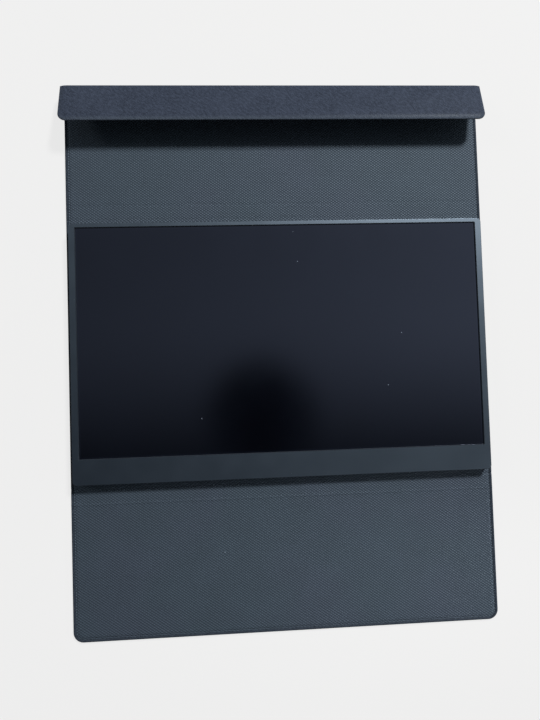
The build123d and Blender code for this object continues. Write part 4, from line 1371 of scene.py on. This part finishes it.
@dataclass
class FoldingCover:
    """The folding cover: five stiff leaves, a soft strip, and a closing flap, joined by creases."""

    half_width: float = 182.3
    middle_z: float = 1.2
    crease_half: float = 2.0
    lower_creases: Pair = (-114.85, -127.55)
    upper_creases: Pair = (114.85, 127.55)
    lower_end: float = -241.75
    strip_y: float = 227.75
    strip_low: float = 3.2
    strip_high: float = 11.2
    fold_half: float = 1.0
    flap_angle: float = 163.5
    flap_length: float = 35.0
    full: float = 2.4
    soft: float = 1.4
    flap_root: float = 2.0
    lower_corner: float = 8.5
    flap_corner: float = 7.0
    # the flap's free edge gets the most wear and painted highlight
    flap_rub_and_painted_light: Pair = (0.2, 1.0)
    edge: LeafEdge = field(default_factory=LeafEdge)

    def stretches(self) -> dict[str, Stretch]:
        """Lays out the middle line of every leaf and crease, with a running station for the patterns.

        Returns:
            The stretches by name.
        """
        z, half = self.middle_z, self.crease_half
        (low_a, low_b), (up_a, up_b) = self.lower_creases, self.upper_creases
        found = {"back_panel": Stretch((low_a + half, z), 0.0, up_a - low_a - 2 * half, low_a + half)}
        for name, y, end in (
                ("upper_spine_crease", up_a - half, up_a + half),
                ("upper_spine", up_a + half, up_b - half),
                ("upper_panel_crease", up_b - half, up_b + half),
                ("upper_panel", up_b + half, self.strip_y - half)):
            found[name] = Stretch((y, z), 0.0, end - y, y)
        for name, y, end in (
                ("lower_spine_crease", low_a + half, low_a - half),
                ("lower_spine", low_a - half, low_b + half),
                ("lower_panel_crease", low_b + half, low_b - half),
                ("lower_panel", low_b - half, self.lower_end)):
            found[name] = Stretch((y, z), math.pi, y - end, y, sense=-1)
        station, quarter = self.strip_y - half, math.pi / 2
        found["flap_strip_crease"] = Stretch((station, z), 0.0, half * quarter, station, bend=quarter)
        station += half * quarter
        height = self.strip_high - self.strip_low
        found["flap_strip"] = Stretch((self.strip_y, self.strip_low), quarter, height, station)
        station += height
        turn = math.radians(self.flap_angle) - quarter
        fold = self.fold_half / math.tan(turn / 2) * turn
        found["flap_crease"] = Stretch((self.strip_y, self.strip_high), quarter, fold, station, bend=turn)
        end, _ = found["flap_crease"].at(fold)
        found["closing_flap"] = Stretch((end.y, end.z), quarter + turn, self.flap_length, station + fold)
        return found

    def leaves(self) -> list[Leaf]:
        """Lists the leaves.

        Returns:
            The leaves from the back panel on.
        """
        lines = self.stretches()
        sizes = {
            "back_panel": {"body": "monitor"},
            "lower_spine": {},
            "lower_panel": {"corner": self.lower_corner},
            "upper_spine": {},
            "upper_panel": {},
            "flap_strip": {"thick": (self.soft, self.soft)},
            "closing_flap": {"thick": (self.flap_root, self.full), "corner": self.flap_corner,
                             "rub": self.flap_rub_and_painted_light},
        }
        return [Leaf(name, lines[name], **{"body": name, **more}) for name, more in sizes.items()]

    def creases(self) -> list[Crease]:
        """Lists the creases with the bodies that they join.

        Returns:
            The creases from the lower spine's on.
        """
        lines = self.stretches()
        flat = (self.full, self.full)
        plans = (
            ("lower_spine_crease", ("monitor", "lower_spine"), flat, 0.30, 2),
            ("lower_panel_crease", ("lower_spine", "lower_panel"), flat, -0.15, 6),
            ("upper_spine_crease", ("monitor", "upper_spine"), flat, 0.06, 2),
            ("upper_panel_crease", ("upper_spine", "upper_panel"), flat, 0.07, 2),
            ("flap_strip_crease", ("upper_panel", "flap_strip"), (self.full, self.soft), 0.05, 2),
            ("flap_crease", ("flap_strip", "closing_flap"), (self.soft, self.flap_root), 0.26, 4),
        )
        return [Crease(name, lines[name], thick, bodies=bodies, dip=dip, narrow=narrow)
                for name, bodies, thick, dip, narrow in plans]

    def build(self, wardrobe: Wardrobe) -> None:
        """Builds every leaf and crease in both layers, and joins each leaf to its body.

        Args:
            wardrobe: The materials.
        """
        for layer in Layer:
            kind = "skin" if layer is Layer.LEATHER else "lining"
            for leaf in self.leaves():
                piece = self._piece(f"{leaf.name}_{kind}_dressed", leaf, layer, wardrobe)
                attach(piece, leaf.body)
                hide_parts(f"{leaf.name}_{kind}")
            for crease in self.creases():
                piece = self._piece(f"{crease.name}_{kind}", crease, layer, wardrobe)
                crease.start
                crease.end
                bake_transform(piece)

    def _piece(self, name: str, part: CoverPart, layer: Layer, wardrobe: Wardrobe) -> bpy.types.Object:
        """Builds one layer of one part.

        Args:
            name: The piece's name.
            part: The leaf or crease.
            layer: Leather or lining.
            wardrobe: The materials.

        Returns:
            The new piece.
        """
        sheet = CoverSheet(part, layer, self.edge, self.half_width)
        return show(name, sheet.build(name), wardrobe.materials[layer.value])


# ---------------------------------------------------------------- details of the monitor


@dataclass(frozen=True)
class BarRow:
    """A row of equal bars with rounded edges, in millimetres."""

    name: str
    count: int
    step: Vec3
    start: Vec3
    end: Vec3
    section: Pair
    rounding: float


class BarTree:
    """Geometry Nodes tree that sweeps one rounded bar and repeats it in a row."""

    INPUTS = {"Count": "Int", "Step": "Vector", "Start": "Vector", "End": "Vector", "Width": "Float",
              "Height": "Float", "Rounding": "Float", "Material": "Material"}
    ROUNDING_STEPS = 3
    MERGE_METRES = 1e-7

    def __init__(self) -> None:
        """Builds the tree."""
        self.tree = bpy.data.node_groups.new("bar_row", "GeometryNodeTree")
        g = Graph(self.tree)
        sockets = self.tree.interface
        for label, kind in self.INPUTS.items():
            sockets.new_socket(label, in_out="INPUT", socket_type=f"NodeSocket{kind}")
        sockets.new_socket("Geometry", in_out="OUTPUT", socket_type="NodeSocketGeometry")
        given = g.add("NodeGroupInput").outputs
        ends = {label: given[label] for label in ("Start", "End")}
        sides = {label: given[label] for label in ("Width", "Height")}
        line = g.add("GeometryNodeCurvePrimitiveLine", ends).outputs[0]
        outline = g.add("GeometryNodeCurvePrimitiveQuadrilateral", sides).outputs[0]
        rounded = {"Curve": outline, "Radius": given["Rounding"], "Count": self.ROUNDING_STEPS}
        profile = g.add("GeometryNodeFilletCurve", rounded, mode="POLY").outputs[0]
        swept = {"Curve": line, "Profile Curve": profile, "Fill Caps": True}
        bar = g.add("GeometryNodeCurveToMesh", swept).outputs[0]
        places = {"Count": given["Count"], "Offset": given["Step"]}
        points = g.add("GeometryNodeMeshLine", places, mode="OFFSET").outputs[0]
        row = g.add("GeometryNodeInstanceOnPoints", {"Points": points, "Instance": bar}).outputs[0]
        real = g.add("GeometryNodeRealizeInstances", {"Geometry": row}).outputs[0]
        dressed = g.add("GeometryNodeSetMaterial", {"Geometry": real, "Material": given["Material"]})
        g.add("NodeGroupOutput", {0: dressed.outputs[0]})

    def make(self, row: BarRow, material: bpy.types.Material) -> bpy.types.Object:
        """Evaluates the tree for one row and keeps the plain mesh.

        Args:
            row: The row's sizes.
            material: The bars' material.

        Returns:
            The new piece.
        """
        carrier = show(f"{row.name}_carrier", bpy.data.meshes.new(f"{row.name}_carrier"))
        modifier = carrier.modifiers.new("bars", "NODES")
        modifier.node_group = self.tree
        vectors = {"Step": row.step, "Start": row.start, "End": row.end}
        lengths = {"Width": row.section[0], "Height": row.section[1], "Rounding": row.rounding}
        values = {
            "Count": row.count, "Material": material,
            **{label: [part * MM for part in vector] for label, vector in vectors.items()},
            **{label: length * MM for label, length in lengths.items()},
        }
        inputs = [item for item in self.tree.interface.items_tree if item.in_out == "INPUT"]
        for item in inputs:
            modifier[item.identifier] = values[item.name]
        graph = bpy.context.evaluated_depsgraph_get()
        data = bpy.data.meshes.new_from_object(carrier.evaluated_get(graph))
        data.name = row.name
        carrier.modifiers.clear()
        bpy.data.objects.remove(carrier)
        shape = bmesh.new()
        shape.from_mesh(data)
        bmesh.ops.remove_doubles(shape, verts=shape.verts, dist=self.MERGE_METRES)
        bmesh.ops.recalc_face_normals(shape, faces=shape.faces)
        shape.to_mesh(data)
        shape.free()
        return show(row.name, data, material)


@dataclass
class SocketContacts:
    """Plated contact pads on the tongues of the sockets in the right wall."""

    usb_middles: tuple[float, ...] = (-74.0, -58.0)
    usb_levels: Pair = (5.12, 5.82)
    usb_pads: tuple[int, float] = (12, 0.5)
    hdmi_middle: float = -38.0
    hdmi_levels: Pair = (5.04, 5.74)
    hdmi_pads: tuple[int, float] = (10, 0.8)
    reach: Pair = (172.2, 176.45)
    pad: Pair = (0.28, 0.07)
    rounding: float = 0.03

    def rows(self) -> list[BarRow]:
        """Lists the rows of pads, two for each socket.

        Returns:
            The rows.
        """
        plans = [(f"usb_c_contacts_{n}", y, self.usb_levels, self.usb_pads)
                 for n, y in enumerate(self.usb_middles, 1)]
        plans.append(("mini_hdmi_contacts", self.hdmi_middle, self.hdmi_levels, self.hdmi_pads))
        rows = []
        for name, middle, levels, (count, pitch) in plans:
            first = middle - pitch * (count - 1) / 2
            for side, z in zip(("back", "front"), levels):
                start, end = ((x, first, z) for x in self.reach)
                step = (0.0, pitch, 0.0)
                rows.append(BarRow(f"{name}_{side}", count, step, start, end, self.pad, self.rounding))
        return rows

    def build(self, bars: BarTree, wardrobe: Wardrobe) -> None:
        """Builds the pads and fixes them to the monitor.

        Args:
            bars: The tree that repeats them.
            wardrobe: The materials.
        """
        for row in self.rows():
            piece = bars.make(row, wardrobe.materials["magnet_nickel"])
            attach(piece, "monitor")


@dataclass
class RockerRibs:
    """Grip ribs on the two ends of the menu rocker."""

    face_x: float = -178.7
    middle_y: float = -42.0
    reach_y: float = 5.0
    span_z: Pair = (5.3, 6.7)
    count: int = 4
    pitch: float = 0.9
    section: Pair = (0.36, 0.4)
    rounding: float = 0.15

    def build(self, bars: BarTree, wardrobe: Wardrobe) -> None:
        """Builds the ribs and fixes them to the rocker.

        Args:
            bars: The tree that repeats them.
            wardrobe: The materials.
        """
        for name, side in (("low", -1), ("high", 1)):
            first = self.middle_y + side * self.reach_y - self.pitch * (self.count - 1) / 2
            start, end = ((self.face_x, first, z) for z in self.span_z)
            step = (0.0, self.pitch, 0.0)
            row = BarRow(f"rocker_ribs_{name}", self.count, step, start, end, self.section, self.rounding)
            piece = bars.make(row, wardrobe.materials["key_plastic"])
            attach(piece, "menu_rocker")


@dataclass
class WindowChamfer:
    """Sloped inner lip round the bezel's window, down to the glass."""

    half: Pair = (172.8, 97.5)
    middle_y: float = 8.95
    glass_z: float = 10.08
    front_z: float = 11.36
    bite: float = 0.06
    slope: tuple[Pair, ...] = ((0.02, 1.28), (0.10, 1.22), (0.26, 0.7), (0.36, 0.2), (0.38, 0.0))

    def build(self, wardrobe: Wardrobe) -> None:
        """Builds the lip and fixes it to the monitor.

        Args:
            wardrobe: The materials.
        """
        section = [(-self.bite, 0.0), (-self.bite, self.front_z - self.glass_z), *self.slope]
        shape = bmesh.new()
        rings = []
        for inset, rise in section:
            x, y, z = self.half[0] - inset, self.half[1] - inset, self.glass_z + rise
            corners = ((-x, -y), (x, -y), (x, y), (-x, y))
            rings.append([shape.verts.new((cx * MM, (self.middle_y + cy) * MM, z * MM))
                          for cx, cy in corners])
        for one, two in zip(rings, rings[1:] + rings[:1]):
            for k, following in enumerate((1, 2, 3, 0)):
                shape.faces.new((one[k], one[following], two[following], two[k]))
        bmesh.ops.recalc_face_normals(shape, faces=shape.faces)
        data = keep_mesh(shape, "window_chamfer")
        piece = show("window_chamfer", data, wardrobe.materials["housing_plastic"])
        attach(piece, "monitor")


# ---------------------------------------------------------------- studio


class LampKind(Enum):
    """Blender's kinds of light that the studio uses."""

    SUN = "SUN"
    AREA = "AREA"
    SPOT = "SPOT"


@dataclass(frozen=True)
class Lamp:
    """One soft light, aimed at a target, with the settings of its kind."""

    name: str
    kind: LampKind
    place: Vec3
    power: float
    settings: tuple[tuple[str, object], ...]
    target: Vec3 = (0.0, 0.0, 0.0)

    def build(self) -> None:
        """Puts the light in the scene."""
        data = bpy.data.lights.new(self.name, self.kind.value)
        data.energy, data.color = self.power, COOL_LIGHT
        for label, value in self.settings:
            setattr(data, label, value)
        lamp = show(self.name, data)
        lamp.location = self.place
        away = Vector(self.place) - Vector(self.target)
        lamp.rotation_euler = away.to_track_quat("Z", "Y").to_euler()


LAMPS: tuple[Lamp, ...] = (
    Lamp("side", LampKind.SUN, (-0.807, 0.34, 0.483), 0.42, (("angle", 0.22),)),
    Lamp("key", LampKind.AREA, (1.12, 1.685, 1.87), 108.0, (("shape", "DISK"), ("size", 0.44))),
    Lamp("spot", LampKind.SPOT, (0.90, -0.25, 0.32), 33.0,
         (("spot_size", 0.24), ("spot_blend", 1.0), ("shadow_soft_size", 0.08)), (0.085, -0.205, 0.0)),
)


@dataclass(frozen=True)
class Studio:
    """Pale floor, three soft lights, a dim sky that is brighter to the right, and the camera."""

    camera_place: Vec3 = (-0.03782, -0.02645, 0.47128)
    camera_turn: Vec3 = (2.149, -3.256, -1.784)
    lens: float = 27.05
    sensor: float = 36.0
    nearest: float = 0.01
    floor_size: float = 6.0
    floor_squares: int = 8
    floor_z: float = -0.0002
    floor_dark: Colour = (0.0795, 0.0715, 0.0655)
    floor_light: Colour = (0.0815, 0.0735, 0.0675)
    floor_patches: float = 3.0
    floor_glow: float = 0.784
    sky_slope: Vec3 = (1.15, -0.6, 0.0)
    sky_level: float = 0.276
    sky_front: Span = (-0.20, 0.12, 0.03, 1.0)
    sky_back: Span = (0.26, 0.75, 0.0, 6.0)
    sky_most: float = 1.0
    near_slope: float = 2.2
    near_span: Span = (-0.25, -0.45, 0.0, 0.24)
    dark_way: Vec3 = (0.04, -0.062, 0.997)
    dark_span: Span = (0.9915, 0.9985, 1.0, 0.0)
    fill: float = 0.14
    sky_tint: Colour = (0.74, 0.88, 1.0)
    backdrop: Colour = (0.86, 0.86, 0.86)

    def build(self) -> None:
        """Makes the camera, the lights, the floor and the sky."""
        scene = bpy.context.scene
        scene.view_settings.view_transform = "Standard"
        data = bpy.data.cameras.new("photo_camera")
        data.lens, data.sensor_width, data.clip_start = self.lens, self.sensor, self.nearest
        camera = show("photo_camera", data)
        camera.location = self.camera_place
        camera.rotation_euler = [math.radians(a) for a in self.camera_turn]
        scene.camera = camera
        for lamp in LAMPS:
            lamp.build()
        self._floor()
        self._sky()

    def _card(self, g: MaterialGraph) -> Feeds:
        """Adds the faint unevenness of the floor's card, which glows so that it stays pale.

        Args:
            g: The material's graph.

        Returns:
            What each of the shader's inputs gets.
        """
        patches = g.spread(g.noise(g.place(), self.floor_patches), *NOISE_SPAN)
        return {
            "Base Color": g.mix(patches, self.floor_dark, self.floor_light),
            "Roughness": 1.0,
            "Specular IOR Level": 0.0,
            "Emission Color": WHITE,
            "Emission Strength": self.floor_glow,
        }

    def _floor(self) -> None:
        """Makes the plain pale floor."""
        shape, squares = bmesh.new(), self.floor_squares
        bmesh.ops.create_grid(shape, x_segments=squares, y_segments=squares, size=self.floor_size / 2)
        floor = show("floor", keep_mesh(shape, "floor"), make_material("floor_card", {}, self._card))
        floor.location = (0.0, 0.0, self.floor_z)

    def _sky(self) -> None:
        """Makes the sky, which is pale to the camera and dim, brighter to the right, to the object."""
        world = bpy.data.worlds.new("studio")
        world.use_nodes = True
        bpy.context.scene.world = world
        g = Graph(world.node_tree)
        way = g.add("ShaderNodeTexCoord").outputs["Generated"]
        across, ahead, _ = g.axes(way)
        rise = g.math("ADD", g.spread(ahead, *self.sky_front), g.spread(ahead, *self.sky_back))
        side = g.math("EXPONENT", g.vector("DOT_PRODUCT", way, self.sky_slope))
        glow = g.math("MULTIPLY", g.math("MULTIPLY", side, self.sky_level), rise)
        near = g.math("EXPONENT", g.math("MULTIPLY", across, self.near_slope))
        near = g.math("MULTIPLY", near, g.spread(ahead, *self.near_span))
        glow = g.math("MINIMUM", g.math("ADD", glow, near), self.sky_most)
        dark = g.spread(g.vector("DOT_PRODUCT", way, self.dark_way), *self.dark_span)
        rays = g.add("ShaderNodeLightPath").outputs
        levels = {"Factor": rays["Is Diffuse Ray"], "A": g.math("MULTIPLY", glow, dark), "B": self.fill}
        level = g.add("ShaderNodeMix", levels).outputs[0]
        dim = g.add("ShaderNodeBackground", {"Color": self.sky_tint, "Strength": level}).outputs[0]
        pale = g.add("ShaderNodeBackground", {"Color": self.backdrop, "Strength": 1.0}).outputs[0]
        both = g.add("ShaderNodeMixShader", {0: rays["Is Camera Ray"], 1: dim, 2: pale}).outputs[0]
        g.add("ShaderNodeOutputWorld", {"Surface": both})


def main() -> None:
    """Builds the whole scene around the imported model."""
    logging.basicConfig(level=logging.INFO, format="%(message)s")
    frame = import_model()
    Studio().build()
    wardrobe = Wardrobe()
    wardrobe.dress_nodes(frame)
    FoldingCover().build(wardrobe)
    WindowChamfer().build(wardrobe)
    bars = BarTree()
    SocketContacts().build(bars, wardrobe)
    RockerRibs().build(bars, wardrobe)


if __name__ == "__main__":
    main()
